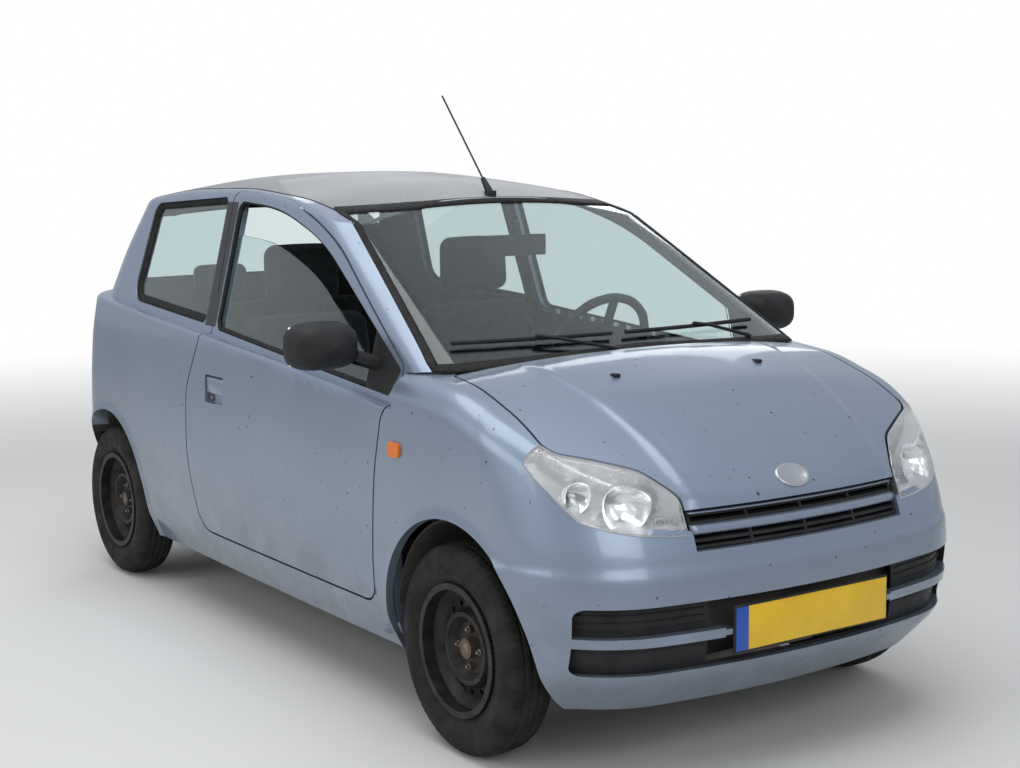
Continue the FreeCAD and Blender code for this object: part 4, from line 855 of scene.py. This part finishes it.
# A box with rolled edges: a sphere's directions, each pushed out to its own corner of the box
def softBox(name, low, high, radius):
    low, high = np.array(low, float), np.array(high, float)
    half = (high - low) / 2
    radius = min(radius, half.min() * softBoxShape["largest"])
    quarter = np.linspace(softBoxShape["from"], softBoxShape["to"], softBoxShape["steps"])
    around = np.radians(np.concatenate([quarter + 90 * i for i in range(4)]))
    upwards = np.radians(np.concatenate((quarter - 90, quarter)))
    direction = np.stack(np.broadcast_arrays(np.cos(upwards)[:, None] * np.cos(around),
                                             np.cos(upwards)[:, None] * np.sin(around),
                                             np.sin(upwards)[:, None] + 0 * around))
    core = (half - radius)[:, None, None]
    points = ((low + high) / 2)[:, None, None] + np.sign(direction) * core + radius * direction
    mesh = gridMesh(name, points, wrapV=True, flip=True)
    count, last = len(around), len(mesh.vertices) - len(around)
    return capped(mesh, [list(range(count))[::-1], [last + i for i in range(count)]])


# Unit vectors in the plane of a closed row, square to it and away from what it encloses
def awayFrom(row):
    ahead = np.roll(row, -1, 0) - np.roll(row, 1, 0)
    area = (row[:, 0] * np.roll(row[:, 1], -1) - row[:, 1] * np.roll(row[:, 0], -1)).sum()
    away = np.stack((ahead[:, 1], -ahead[:, 0]), 1) * np.sign(area)
    return away / np.linalg.norm(away, axis=1)[:, None]


# A closed section carried round an outline on the cabin's form, which is drawn across the axis that it is solved
# along; the section's points are (inwards, level)
def ringOnForm(name, outline, section, axis, low, high, step=14.0):
    row = evenSteps(roundedCorners(outline), step)
    rings = []
    for offset, level in section:
        p = np.zeros((3, len(row)))
        p[1 - axis], p[2] = (row - awayFrom(row) * offset).T
        rings.append(solveAlong(upForm, level, p, axis, low, high))
    return outwards(gridMesh(name, np.stack(rings, 1), wrapU=True, wrapV=True))


def mirroredMesh(mesh, name):
    other = mesh.copy()
    other.name = name
    other.transform(Matrix.Scale(-1, 4, (0, 1, 0)))
    other.flip_normals()
    return other


# A piece on the left side and its mirrored twin on the right, each riding with a node of its side
def linkPair(name, mesh, node, materials, ends=("left", "right")):
    left, right = (name + end for end in ends)
    linkPiece(left, mesh, nodeBody[node + "left"], materials)
    linkPiece(right, mirroredMesh(mesh, right), nodeBody[node + "right"], materials)


upper, lower, front = (upForm, 0.0), (lowForm, 0.0), (wingForm, 0.0)
pillar = {"lines": {"door_": (((-391, 1000), (-412, 1404)), ((-409, 1000), (-452, 1404))),
                    "side_frame_": (((-416, 1000), (-459, 1404)), ((-474, 1000), (-497, 1404)))},
          "level": 0.5, "sheet": 3.0, "rows": 40, "columns": 8}
sideSpan = (300, 900)


# A thin cover on the body's form, between a front and a rear line that each run from a foot to a top
def pillarCover(name, frontLine, rearLine):
    z = np.linspace(0, 1, pillar["rows"])[:, None]
    share = np.linspace(0, 1, pillar["columns"])[None]
    ends = [np.array(line[0])[:, None, None] + (np.array(line[1]) - np.array(line[0]))[:, None, None] * z
            for line in (frontLine, rearLine)]
    flat = ends[0] + (ends[1] - ends[0]) * share
    p = np.stack((flat[0].ravel(), 0 * flat[0].ravel(), flat[1].ravel()))
    outer = solveAlong(upForm, pillar["level"], p, 1, *sideSpan).reshape(3, pillar["rows"], pillar["columns"])
    inner = outer.copy()
    inner[1] -= pillar["sheet"]
    return outwards(gridMesh(name, np.concatenate((outer, inner[:, :, ::-1]), 2), wrapV=True))


# Node, skins, inner material, longest edge and reach of each painted panel
for node, skins, inner, longest, reach in (
        ("side_frame_left", [lower, upper], "doorTrim", "archLongest", 17.0),
        ("side_frame_right", [lower, upper], "doorTrim", "archLongest", 17.0),
        ("door_left", [lower, upper], "doorTrim", "longest", 17.0),
        ("door_right", [lower, upper], "doorTrim", "longest", 17.0),
        ("front_wing_left", [front], "underbody", "archLongest", 9.0),
        ("front_wing_right", [front], "underbody", "archLongest", 9.0),
        ("tailgate", [lower, upper], "doorTrim", "longest", 17.0),
        ("bonnet", [(bonnetForm, 0.0)], "underbody", "bonnetLongest", 17.0),
        ("front_bumper", [(bumperForm, 0.0)], "moulded", "bumperLongest", 14.0),
        ("rear_bumper", [lower], "moulded", "archLongest", 22.0)):
    dressPanel(node, skins, ["paint", inner], panelShape[longest], reach)
dressPanel("roof_panel", [upper], ["roofPaint", "headliner"], panelShape["longest"])
for node, lines in pillar["lines"].items():
    cover = pillarCover(node + "pillar_cover_left", *lines)
    linkPair(node + "pillar_cover_", cover, node, ["glossBlack"], ("left", "right.001"))
print("painted panels dressed")

# Window outlines as corners (across or along the car, height, radius)
screenRows = ((-512, 1390, 25), (0, 1418, 3600), (512, 1390, 25), (624, 1030, 60), (640, 985, 0), (0, 1006, 0),
              (-640, 985, 0), (-624, 1030, 60))
tailGlassRows = ((-440, 1342, 45), (0, 1374, 2600), (440, 1342, 45), (528, 1075, 45), (-528, 1075, 45))
doorWindow = ((-388, 992, 35), (-410, 1409, 40), (-95, 1391, 1200), (230, 1301, 1100), (813, 976, 12),
              (772, 903, 16))
quarterWindow = ((-1160, 1040, 70), (-1122, 1388, 60), (-498, 1420, 25), (-474, 1003, 25))
sealSections = {"door": ((-1.5, -3.0), (7.0, -5.5), (9.0, -15.6), (-1.5, -15.6)),
                "quarter": ((-1.5, -4.0), (8.0, -9.0), (24.0, -14.6), (24.0, -15.7), (-1.5, -15.7)),
                "screen": ((-7.0, 0.4), (3.0, 1.2), (13.0, -1.8), (13.0, -2.7), (-7.0, -2.7))}
pane = {"screen": 16.0, "side": 26.0, "reach": 9.0, "passes": 7}
for node, key in (("windscreen", "screen"), ("tailgate_glass", "screen"), ("door_glass_left", "side"),
                  ("door_glass_right", "side"), ("quarter_glass", "side")):
    skins = [(upForm, level) for level in glassLevels[key]]
    dressPanel(node, skins, ["window"], pane[key], pane["reach"], pane["passes"])
for name, rows, furthest, owner in (("windscreen_seal", screenRows, 1400, "windscreen"),
                                    ("tailgate_glass_seal", tailGlassRows, -1800, "tailgate")):
    seal = ringOnForm(name, rows, sealSections["screen"], 0, 0, furthest)
    linkPiece(name, seal, nodeBody[owner], ["rubberSeal"])
for outline, key, owner in ((doorWindow, "door", "door_"), (quarterWindow, "quarter", "side_frame_")):
    seal = ringOnForm(key + "_seal_left", outline, sealSections[key], 1, *sideSpan)
    linkPair(key + "_seal_", seal, owner, ["rubberSeal"])
ditch = {"from": -1385.0, "to": 262.0, "across": 512.0, "radius": 4.2, "count": 46, "level": -2.6,
         "span": (1200, 1600)}
ditchPath = np.zeros((3, ditch["count"]))
ditchPath[0], ditchPath[1] = np.linspace(ditch["from"], ditch["to"], ditch["count"]), ditch["across"]
ditchPath = solveAlong(upForm, ditch["level"], ditchPath, 2, *ditch["span"])
linkPair("roof_ditch_", tubeMesh("roof_ditch_left", ditchPath.T, ditch["radius"]), "side_frame_",
         ["rubberSeal"])
print("glass and seals set")

lamp = {"lensLevel": -1.0, "lensSheet": 2.6, "wall": 1.6, "bowlWall": 1.2, "clear": -9.0, "reach": 9.0,
        "longest": 18.0, "passes": 5, "main": (1520.0, 505.0, 716.0, 68.0, 62.0),
        "outer": (1470.0, 607.0, 736.0, 40.0, 44.0), "turn": (1560.0, 398.0, 655.0, 62.0, 34.0),
        "ribs": 7, "ribPitch": 9.0, "rib": 3.0, "ribLong": 34.0, "ribShorter": 1.4, "clearMove": 60.0,
        "bowlFrom": 0.06, "bowlRings": 14, "bowlBack": -0.4, "rim": (2, 4), "bowlAround": 48, "bulbAhead": 2}


# A lamp solid's copy without the faces on the body's form, or with those alone
def splitLamp(name, keepSkin):
    mesh, work = mergedCopy("headlamps")
    work.to_mesh(mesh)
    owner = facesOnSkins(mesh, [front], lamp["reach"])
    doomed = [f for f, o in zip(work.faces, owner) if (o >= 0) != keepSkin]
    bmesh.ops.delete(work, geom=doomed, context="FACES")
    for _ in range(lamp["passes"] if keepSkin else 0):
        long = [e for e in work.edges if e.calc_length() > lamp["longest"] * mm]
        if not long:
            break
        bmesh.ops.subdivide_edges(work, edges=long, cuts=1)
        bmesh.ops.triangulate(work, faces=[f for f in work.faces if len(f.verts) > 3])
    work.to_mesh(mesh)
    work.free()
    mesh.name = name
    if keepSkin:
        placePoints(mesh, ontoForm(wingForm, arrays(mesh)[0], lamp["lensLevel"]))
    mesh.polygons.foreach_set("use_smooth", np.full(len(mesh.polygons), keepSkin))
    mesh.update()
    return mesh


def addSolidify(piece, thickness):
    shell = piece.modifiers.new("wall", "SOLIDIFY")
    shell.thickness = thickness * mm
    shell.offset = -1.0


lens = linkPiece("headlamp_lenses", splitLamp("headlamp_lenses", True), "car", ["lampLens"])
addSolidify(lens, lamp["lensSheet"])
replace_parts(lens, "headlamps")
housing = linkPiece("headlamp_housings", splitLamp("headlamp_housings", False), "car", ["lampHousing"])
addSolidify(housing, lamp["wall"])


# A reflector: a parabola turned about the car's length, held back behind the lens where it would meet it
def reflector(spot, side):
    x, y, z, radius, depth = spot
    curve = [(depth * t * t, radius * t) for t in np.linspace(lamp["bowlFrom"], 1, lamp["bowlRings"])]
    profile = [(lamp["bowlBack"], 0.0)] + curve + [(depth + lamp["rim"][0], radius + lamp["rim"][1])]
    mesh = turned("bowl", profile, (x, side * y, z), (1, 0, 0), lamp["bowlAround"])
    points = arrays(mesh)[0]
    over = wingForm(points) > lamp["clear"]
    points[:, over] = ontoForm(wingForm, points[:, over], lamp["clear"], most=lamp["clearMove"])
    placePoints(mesh, points)
    return mesh


bulbProfile = ((0, 0), (0, 7), (26, 7), (34, 4.5), (37, 0))
for side, word in sides:
    bowls = joinMeshes("reflectors_" + word, [reflector(lamp[key], side) for key in ("main", "outer")])
    addSolidify(linkPiece("headlamp_reflectors_" + word, bowls, "car", ["chromeBowl"]), lamp["bowlWall"])
    x, y, z, wide, tall = lamp["turn"]
    ribs = []
    for i in range(lamp["ribs"]):
        middle = side * (y - wide / 2 + lamp["ribPitch"] * i)
        low = (x, middle - lamp["rib"], z - tall / 2)
        high = (x + lamp["ribLong"] - lamp["ribShorter"] * i, middle + lamp["rib"], z + tall / 2)
        ribs.append(softBox("rib", low, high, lamp["rib"]))
    linkPiece("headlamp_indicator_" + word, joinMeshes("ribs", ribs), "car", ["brightSatin"])
    bulbs = [turned("bulb", bulbProfile, (bowl[0] + lamp["bulbAhead"], side * bowl[1], bowl[2]), (1, 0, 0), 16)
             for bowl in (lamp["main"], lamp["outer"])]
    linkPiece("headlamp_bulbs_" + word, joinMeshes("bulbs", bulbs), "car", ["whiteLens"])
print("headlamps made")

noseSpan = {"x": (900, 1800), "round": 14, "square": 0.6}


# A bar across the nose: a rounded section, its front on a level of the wing's form
def noseBar(name, reach, height, level, tall, deep, count=41):
    around = noseSpan["round"]
    y = np.linspace(reach[0], reach[1], count)
    p = np.zeros((3, count))
    p[1], p[2] = y, height
    face = solveAlong(wingForm, level, p, 0, *noseSpan["x"])
    turn = np.linspace(0, 2 * np.pi, around, endpoint=False)
    across = np.sign(np.sin(turn)) * np.abs(np.sin(turn)) ** noseSpan["square"] * tall / 2
    back = (np.cos(turn) - 1) * deep / 2
    points = np.stack((face[0][None] + back[:, None], np.broadcast_to(y, (around, count)),
                       height + across[:, None] + 0 * y[None]))
    starts = [i * count for i in range(around)]
    return capped(gridMesh(name, points, wrapU=True), [starts, [i + count - 1 for i in starts][::-1]])


grille = {"half": 349.0, "blade": (640.0, -3.0, 27, 44), "lip": (681.0, -2.5, 7.5, 30),
          "mouthBars": (326, 345, 362, 418, 436, 454), "mouthReach": (330, 640), "mouthBar": (-16.0, 5.5, 20, 17)}
smoothCopy("grilles", "blackPlastic")
for key in ("blade", "lip"):
    bar = noseBar("grille_" + key, (-grille["half"], grille["half"]), *grille[key])
    linkPiece(bar.name, bar, "car", ["paint"])
near, far = grille["mouthReach"]
bars = [noseBar("bar", reach, height, *grille["mouthBar"])
        for reach in ((near, far), (-far, -near)) for height in grille["mouthBars"]]
linkPiece("mouth_bars", joinMeshes("mouth_bars", bars), "car", ["blackPlastic"])
plate = {"x": 1690.0, "z": 393.0, "wide": 520.0, "tall": 110.0, "band": 40.0, "rearX": -1698.3, "rearZ": 640.0}
# Depths along the car, how far a part falls short on its right, its left, above and below, and its edge radius
plateParts = {"holder": ((0.0, 7.0), -5, -5, -6, 3), "face": ((6.5, 9.0), 0, 0, 0, 1.2),
              "raised": ((8.6, 9.8), 6, 5, 5, 0.6), "band": ((6.5, 9.2), 0, 0, 0, 1.2),
              "rear": ((-2.2, -0.4), 0, 0, 0, 0.9)}


# A flat part of a plate that stands at x and z, between two places across the car
def plateBox(name, part, x, z, right, left):
    (near, far), rightShort, leftShort, short, radius = plateParts[part]
    rise = plate["tall"] / 2 - short
    return softBox(name, (x + near, right + rightShort, z - rise), (x + far, left - leftShort, z + rise), radius)


place, half, seam = (plate["x"], plate["z"]), plate["wide"] / 2, plate["band"] - plate["wide"] / 2
holder = linkPiece("plate_holder", plateBox("plate_holder", "holder", *place, -half, half), "car",
                   ["blackPlastic"])
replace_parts(holder, "front_plate")
face = [plateBox("face", part, *place, seam, half) for part in ("face", "raised")]
linkPiece("plate_face", joinMeshes("plate_face", face), "car", ["plateYellow"])
linkPiece("plate_band", plateBox("plate_band", "band", *place, -half, seam), "car", ["plateBlue"])
place, owner = (plate["rearX"], plate["rearZ"]), nodeBody["rear_plate"]
back = linkPiece("rear_plate_face", plateBox("rear_plate_face", "rear", *place, seam, half), owner,
                 ["plateYellow"])
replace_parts(back, "rear_plate")
band = plateBox("rear_plate_band", "rear", *place, -half, seam)
linkPiece("rear_plate_band", band, owner, ["plateBlue"])
badgeShape = {"wider": 1.45, "height": 736.0, "x": (1400, 1800), "count": 48,
              "profile": ((-2, 0), (-2, 37), (2.4, 37.5), (4.4, 35), (4.6, 31), (2.2, 28), (2.2, 0))}
spot = spotOn(bonnetForm, 0.0, (0, 0, badgeShape["height"]), 0, badgeShape["x"])
facing = unit(formGradient(bonnetForm, spot[:, None]))[:, 0]
badge = turned("badge_disc", badgeShape["profile"], spot, facing, badgeShape["count"])
badge.transform(Matrix.Diagonal((1.0, badgeShape["wider"], 1.0, 1.0)))
linkPiece("badge_disc", badge, nodeBody["bonnet"], ["brightSatin"])
nozzle = {"x": 1206.0, "y": 251.0, "z": (800, 1100), "low": (13, 11, 4), "high": (13, 11, 6), "radius": 4.5}
nozzles = []
for side in (-1, 1):
    spot = spotOn(bonnetForm, 0.0, (nozzle["x"], side * nozzle["y"], 0), 2, nozzle["z"])
    nozzles.append(softBox("nozzle", spot - nozzle["low"], spot + nozzle["high"], nozzle["radius"]))
linkPiece("washer_nozzles", joinMeshes("washer_nozzles", nozzles), nodeBody["bonnet"], ["blackPlastic"])
print("front trim made")

smoothCopy("side_repeaters", "amberLens")
doorPull = {"x": (-346, -222), "z": (792, 846), "middle": (-284.0, 0.0, 820.0), "level": -14.0, "thick": 12.0,
            "round": 7, "lock": (-331, 775), "sunk": 6.0,
            "lockProfile": ((0, 0), (0, 10), (8, 10), (9, 8.5), (9, 0))}
for side, word in sides:
    corner = spotOn(lowForm, doorPull["level"], doorPull["middle"], 1, sideSpan)[1]
    y = sorted((side * corner, side * (corner + doorPull["thick"])))
    low, high = zip(doorPull["x"], y, doorPull["z"])
    body = nodeBody["door_" + word]
    linkPiece("door_pull_" + word, softBox("pull", low, high, doorPull["round"]), body, ["paint"])
    x, z = doorPull["lock"]
    key = turned("lock", doorPull["lockProfile"], (x, side * (corner - doorPull["sunk"]), z), (0, side, 0), 20)
    linkPiece("door_lock_" + word, key, body, ["nutSteel"])
mirrorShape = {"y": 815.0, "z": 1036.0, "x": (712.0, 704.0, 692.0, 668.0, 630.0, 600.0, 588.0),
               "wide": (20.0, 96.0, 146.0, 184.0, 202.0, 200.0, 194.0),
               "tall": (12.0, 60.0, 94.0, 120.0, 133.0, 132.0, 128.0), "rings": 22, "square": 0.62,
               "rim": ((586, 6), (590, 14), (606, 18)), "nose": 2, "point": 0.1, "around": 48,
               "faceX": (598, 602), "faceHalf": (86, 54), "faceRound": 1.8, "footEnd": 716.0, "footCrease": 31.5}


# The mirror's shell: rounded-square rings along the car, closed at the nose, turned in round the glass
def mirrorShell(name):
    shape = mirrorShape
    x = np.linspace(shape["x"][0], shape["x"][-1], shape["rings"])
    kernel = np.array((0.25, 0.5, 0.25))
    rims = []
    for key in ("wide", "tall"):
        size = np.interp(x, shape["x"][::-1], shape[key][::-1])
        for _ in range(3):
            size[1:-1] = np.convolve(size, kernel, "valid")
        turnedIn = [size[-1] - less for place, less in shape["rim"]]
        rims.append(np.concatenate(([shape["point"]], size, turnedIn, [shape["point"]]))[:, None] / 2)
    ends = [place for place, less in shape["rim"]]
    x = np.concatenate(([x[0] + shape["nose"]], x, ends, ends[-1:]))
    turn = np.linspace(0, 2 * np.pi, shape["around"], endpoint=False)
    across, rise = (np.sign(wave) * np.abs(wave) ** shape["square"] for wave in (np.cos(turn), np.sin(turn)))
    points = np.stack((x[:, None] + 0 * turn[None], shape["y"] + rims[0] * across, shape["z"] + rims[1] * rise))
    return outwards(gridMesh(name, points, wrapV=True))


# The mirror's CAD copy without its head
def mirrorFoot(node):
    mesh, work = mergedCopy(node)
    doomed = [f for f in work.faces if abs(f.calc_center_median().y) > mirrorShape["footEnd"] * mm]
    bmesh.ops.delete(work, geom=doomed, context="FACES")
    shadeSmooth(mesh, work, mirrorShape["footCrease"])
    return mesh


for word in ("left", "right"):
    foot = linkPiece("mirror_foot_" + word, mirrorFoot("mirror_" + word), nodeBody["mirror_" + word],
                     ["blackPlastic"])
    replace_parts(foot, "mirror_" + word)
linkPair("mirror_shell_", mirrorShell("mirror_shell"), "mirror_", ["blackPlastic"])
halfY, halfZ = mirrorShape["faceHalf"]
y, z = mirrorShape["y"], mirrorShape["z"]
low, high = zip(mirrorShape["faceX"], (y - halfY, y + halfY), (z - halfZ, z + halfZ))
linkPair("mirror_face_", softBox("mirror_face", low, high, mirrorShape["faceRound"]), "mirror_",
         ["mirrorFace"])
dressPanel("tail_lamps", [lower], ["tailLens"], panelShape["lampLongest"])
for node in ("antenna", "front_wipers", "rear_wiper", "cowl_panel"):
    smoothCopy(node, "blackPlastic")
print("side trim made")

wheel = {"radius": 280.0, "rings": 96, "grooves": (-33.0, -11.0, 11.0, 33.0), "groove": 6.5, "grooveHalf": 2.6,
         "blocks": 78, "around": 312, "slot": 4.5, "slotFrom": 0.78, "shoulder": (36, 3, 66, 4), "sideRing": 0.7,
         "sidePitch": 1.3, "studs": 50.0, "face": 12.0, "rimCrease": 40.0,
         "section": ((-52, 168), (-58, 180), (-66, 196), (-71.5, 216), (-72.4, 230), (-69, 247), (-62, 262),
                     (-54, 271.5), (-42, 276.5), (-20, 279.3), (0, 280)),
         "nut": ((-1, 0), (-1, 9.5), (10, 9.5), (11.5, 8), (11.5, 0)),
         "stud": ((10, 0), (10, 5), (18, 5), (19, 4), (19, 0)),
         "cap": ((14, 0), (14, 24), (22, 24), (30, 20), (33, 12), (34, 0))}
wheelPlaces = {end + "_" + word: (arches[end + "X"], side) for end in ("front", "rear") for side, word in sides}


# The tyre's section from bead to bead as radius against width, turned round; the tread is cut by four rings of
# grooves and by slots across its shoulders, the sidewall carries fine rings
def tyreMesh(name, x, y):
    corner = np.array(wheel["section"], float)
    rows = np.concatenate((corner, corner[-2::-1] * (-1, 1)))
    along = np.concatenate(([0], np.cumsum(np.linalg.norm(np.diff(rows, axis=0), axis=1))))
    at = np.linspace(0, along[-1], wheel["rings"])
    across, radius = np.interp(at, along, rows[:, 0]), np.interp(at, along, rows[:, 1])
    off = np.abs(across)
    turn = np.linspace(0, 2 * np.pi, wheel["around"], endpoint=False)[:, None]
    depth = sum(wheel["groove"] * np.exp(-((across - middle) / wheel["grooveHalf"]) ** 4)
                for middle in wheel["grooves"])
    beat = 0.5 + 0.5 * np.cos(turn * wheel["blocks"])
    start, startSoft, end, endSoft = wheel["shoulder"]
    shoulder = np.clip((off - start) / startSoft, 0, 1) * np.clip((end - off) / endSoft, 0, 1)
    depth = np.maximum(depth, wheel["slot"] * (beat > wheel["slotFrom"]) * shoulder)
    rings = wheel["sideRing"] * (off > end) * (0.5 + 0.5 * np.sin(at * wheel["sidePitch"]))
    width = across + np.sign(across) * rings + 0 * turn
    radii = radius - depth
    points = np.stack((x + radii * np.cos(turn), y + width, wheel["radius"] + radii * np.sin(turn)))
    return outwards(gridMesh(name, points, wrapU=True, wrapV=True))


for word, (x, side) in wheelPlaces.items():
    low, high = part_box("tyre_" + word)
    y = (low.y + high.y) / 2 / mm
    body = nodeBody["tyre_" + word]
    tyre = linkPiece("tread_" + word, tyreMesh("tread_" + word, x, y), body, ["tyre"])
    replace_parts(tyre, "tyre_" + word)
    smoothCopy("rim_" + word, "wheelPaint", wheel["rimCrease"])
    nuts = []
    for quarter in range(4):
        turn = math.radians(90 * quarter)
        spot = (x + wheel["studs"] * math.cos(turn), y + side * wheel["face"],
                wheel["radius"] + wheel["studs"] * math.sin(turn))
        nuts.append(turned("nut", wheel["nut"], spot, (0, side, 0), 6, False))
        nuts.append(turned("stud", wheel["stud"], spot, (0, side, 0), 12))
    nuts.append(turned("cap", wheel["cap"], (x, y, wheel["radius"]), (0, side, 0), 28))
    linkPiece("nuts_" + word, joinMeshes("nuts_" + word, nuts), body, ["nutSteel"])
print("wheels made")

for node, material, slot in (
        ("floor_pan", "underbody", "underbody"), ("firewall", "underbody", "underbody"),
        ("front_frame", "underbody", "underbody"), ("front_subframe", "underbody", "underbody"),
        ("rear_axle", "underbody", "underbody"), ("engine_block", "castMetal", "engine"),
        ("radiator", "radiatorFins", "radiator"), ("exhaust", "exhaustSteel", "exhaust"),
        ("fuel_tank", "moulded", "tank"), ("knuckle_left", "darkIron", "knuckle"),
        ("knuckle_right", "darkIron", "knuckle"), ("dashboard", "dashPlastic", "trim"),
        ("interior_mirror", "blackPlastic", "trim")):
    smoothCopy(node, material)
steering = {"centre": (345.0, 345.0, 925.0), "radius": 182.0, "grip": 15.0, "tilt": 26.0, "ripple": 0.8,
            "ripples": 14, "palmFrom": 0.2, "pad": ((-28, 0), (-28, 60), (-6, 66), (6, 58), (11, 40), (13, 0)),
            "boss": ((-59, 0), (-59, 28), (-26, 28), (-26, 0)), "spokes": (0, 180, 270),
            "spoke": (40, 3, 17, (-15, -3), 5), "around": (96, 16)}


# The steering wheel: a ring, three flat spokes and a crowned pad, made level and then tilted to the column
def steeringMesh(name):
    big, small = steering["radius"], steering["grip"]
    u = np.linspace(0, 2 * np.pi, steering["around"][0], endpoint=False)[:, None]
    v = np.linspace(0, 2 * np.pi, steering["around"][1], endpoint=False)[None]
    ripple = small + steering["ripple"] * np.cos(steering["ripples"] * u) * (np.cos(v) > steering["palmFrom"])
    ring = np.stack((np.cos(u) * (big + ripple * np.cos(v)), np.sin(u) * (big + ripple * np.cos(v)),
                     ripple * np.sin(v) + 0 * u))
    parts = [gridMesh("ring", ring, wrapU=True, wrapV=True),
             turned("pad", steering["pad"], (0, 0, 0), (0, 0, 1), 40),
             turned("boss", steering["boss"], (0, 0, 0), (0, 0, 1), 32)]
    start, short, half, (under, over), radius = steering["spoke"]
    for degrees in steering["spokes"]:
        spoke = softBox("spoke", (start, -half, under), (big - short, half, over), radius)
        spoke.transform(Matrix.Rotation(math.radians(degrees), 4, "Z"))
        parts.append(spoke)
    mesh = outwards(joinMeshes(name, parts))
    place = Matrix.Translation([c * mm for c in steering["centre"]])
    mesh.transform(place @ Matrix.Rotation(math.radians(steering["tilt"] - 90), 4, "Y"))
    return mesh


wheelPiece = linkPiece("steering_rim", steeringMesh("steering_rim"), nodeBody["steering_wheel"],
                       ["dashPlastic"])
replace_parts(wheelPiece, "steering_wheel")
dash = {"x": (545, 566), "ventX": 548, "vents": (-520, -60, 60, 540), "ventHalf": 44, "ventZ": (812, 856),
        "ventRound": 7, "boxes": ((720, 772), (660, 706)), "boxHalf": 90, "boxRound": 5}
fittings = [softBox("vent", (dash["ventX"], y - dash["ventHalf"], dash["ventZ"][0]),
                    (dash["x"][1], y + dash["ventHalf"], dash["ventZ"][1]), dash["ventRound"])
            for y in dash["vents"]]
fittings += [softBox("box", (dash["x"][0], -dash["boxHalf"], low), (dash["x"][1], dash["boxHalf"], high),
                     dash["boxRound"]) for low, high in dash["boxes"]]
linkPiece("dash_fittings", joinMeshes("dash_fittings", fittings), "car", ["glossBlack"])

# Side outlines of the pads as corners (along the car, height, radius), each with its half width, edge radius,
# crown and where its seams run, as shares of the half width
pads = {"seat_cushion_": (((-322, 345, 36), (-322, 436, 50), (222, 492, 54), (222, 362, 50)), 232, 44, 5, (0.52,)),
        "seat_back_": (((-322, 412, 50), (-200, 428, 50), (-334, 1022, 52), (-442, 1022, 52), (-430, 600, 300)),
                       222, 44, 5, (0.52,)),
        "headrest_": (((-444, 1068, 36), (-351, 1068, 36), (-365, 1256, 40), (-444, 1256, 40)), 130, 36, 4, ()),
        "rear_cushion": (((-1164, 398, 0), (-1164, 524, 36), (-640, 558, 56), (-532, 540, 46), (-540, 398, 0)),
                         508, 40, 5, (0.08, 0.6)),
        "rear_backrest": (((-1174, 446, 26), (-1048, 474, 26), (-1194, 998, 46), (-1282, 998, 46)), 508, 36, 5,
                          (0.02, 0.6)),
        "rear_headrest_": (((-1284, 1036, 26), (-1211, 1036, 26), (-1220, 1144, 26), (-1279, 1144, 26)), 106, 30, 3,
                           ())}
seats = {"seam": 5.0, "seamHalf": 6.0, "pitch": 12.0, "roll": 7, "deepEdges": 4, "deepest": 0.6,
         "across": 345.0, "rearAcross": 260.0, "base": ((-280, 200), 188, (238, 346), 14), "postX": -400.0,
         "postLean": 0.03, "postFoot": 1000, "postRise": (0, 85, 12), "postApart": 70, "post": 6.5}


# An upholstered pad: its side outline carried across the seat, drawn in along rolled edges towards both ends,
# crowned in the middle, with sewn lines along it
def padMesh(name, outline, half, edge, crown, seams, centreY):
    row = evenSteps(roundedCorners(outline, 10), seats["pitch"])
    flat = np.linspace(-1, 1, int(2 * (half - edge) / seats["pitch"]) + 2)[1:-1] * (half - edge)
    roll = np.linspace(0, np.pi / 2, seats["roll"])
    y = np.concatenate((-(half - edge) - edge * np.cos(roll), flat, half - edge + edge * np.sin(roll)))
    inset = np.concatenate((edge * (1 - np.sin(roll)), 0 * flat, edge * (1 - np.cos(roll))))
    swell = crown * (1 - np.clip(np.abs(y) / half, 0, 1) ** 2) - inset
    for seam in seams:
        swell = swell - seats["seam"] * np.exp(-((np.abs(y) - seam * half) / seats["seamHalf"]) ** 2)
    reach = np.minimum(np.linalg.norm(row - row.mean(0), axis=1), seats["deepEdges"] * edge)
    deepest = -seats["deepest"] * reach[:, None, None]
    shape = row[:, None] + awayFrom(row)[:, None] * np.maximum(swell[None, :, None], deepest)
    points = np.stack((shape[..., 0], centreY + y[None] + 0 * shape[..., 0], shape[..., 1]))
    starts = [i * len(y) for i in range(len(row))]
    return capped(gridMesh(name, points, wrapU=True), [starts, [i + len(y) - 1 for i in starts]])


def linkPad(name, word="", centreY=0.0):
    pad = linkPiece(name + word, padMesh(name, *pads[name], centreY), "car", ["seatCloth"])
    return pad


frontPads = [linkPad(name, word, side * seats["across"]) for side, word in sides
             for name in ("seat_cushion_", "seat_back_", "headrest_")]
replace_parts(frontPads[0], "front_seats")
posts = []
(rear, ahead), half, (foot, top), radius = seats["base"]
for side, _ in sides:
    middle = side * seats["across"]
    posts.append(softBox("base", (rear, middle - half, foot), (ahead, middle + half, top), radius))
    for apart in (-seats["postApart"], seats["postApart"]):
        path = [(seats["postX"] - rise * seats["postLean"], middle + apart, seats["postFoot"] + rise)
                for rise in range(*seats["postRise"])]
        posts.append(tubeMesh("post", path, seats["post"]))
linkPiece("seat_bases", joinMeshes("seat_bases", posts), "car", ["moulded"])
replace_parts(linkPad("rear_cushion"), "rear_seat")
linkPad("rear_backrest")
for side, word in sides:
    linkPad("rear_headrest_", word, side * seats["rearAcross"])
print("cabin made")
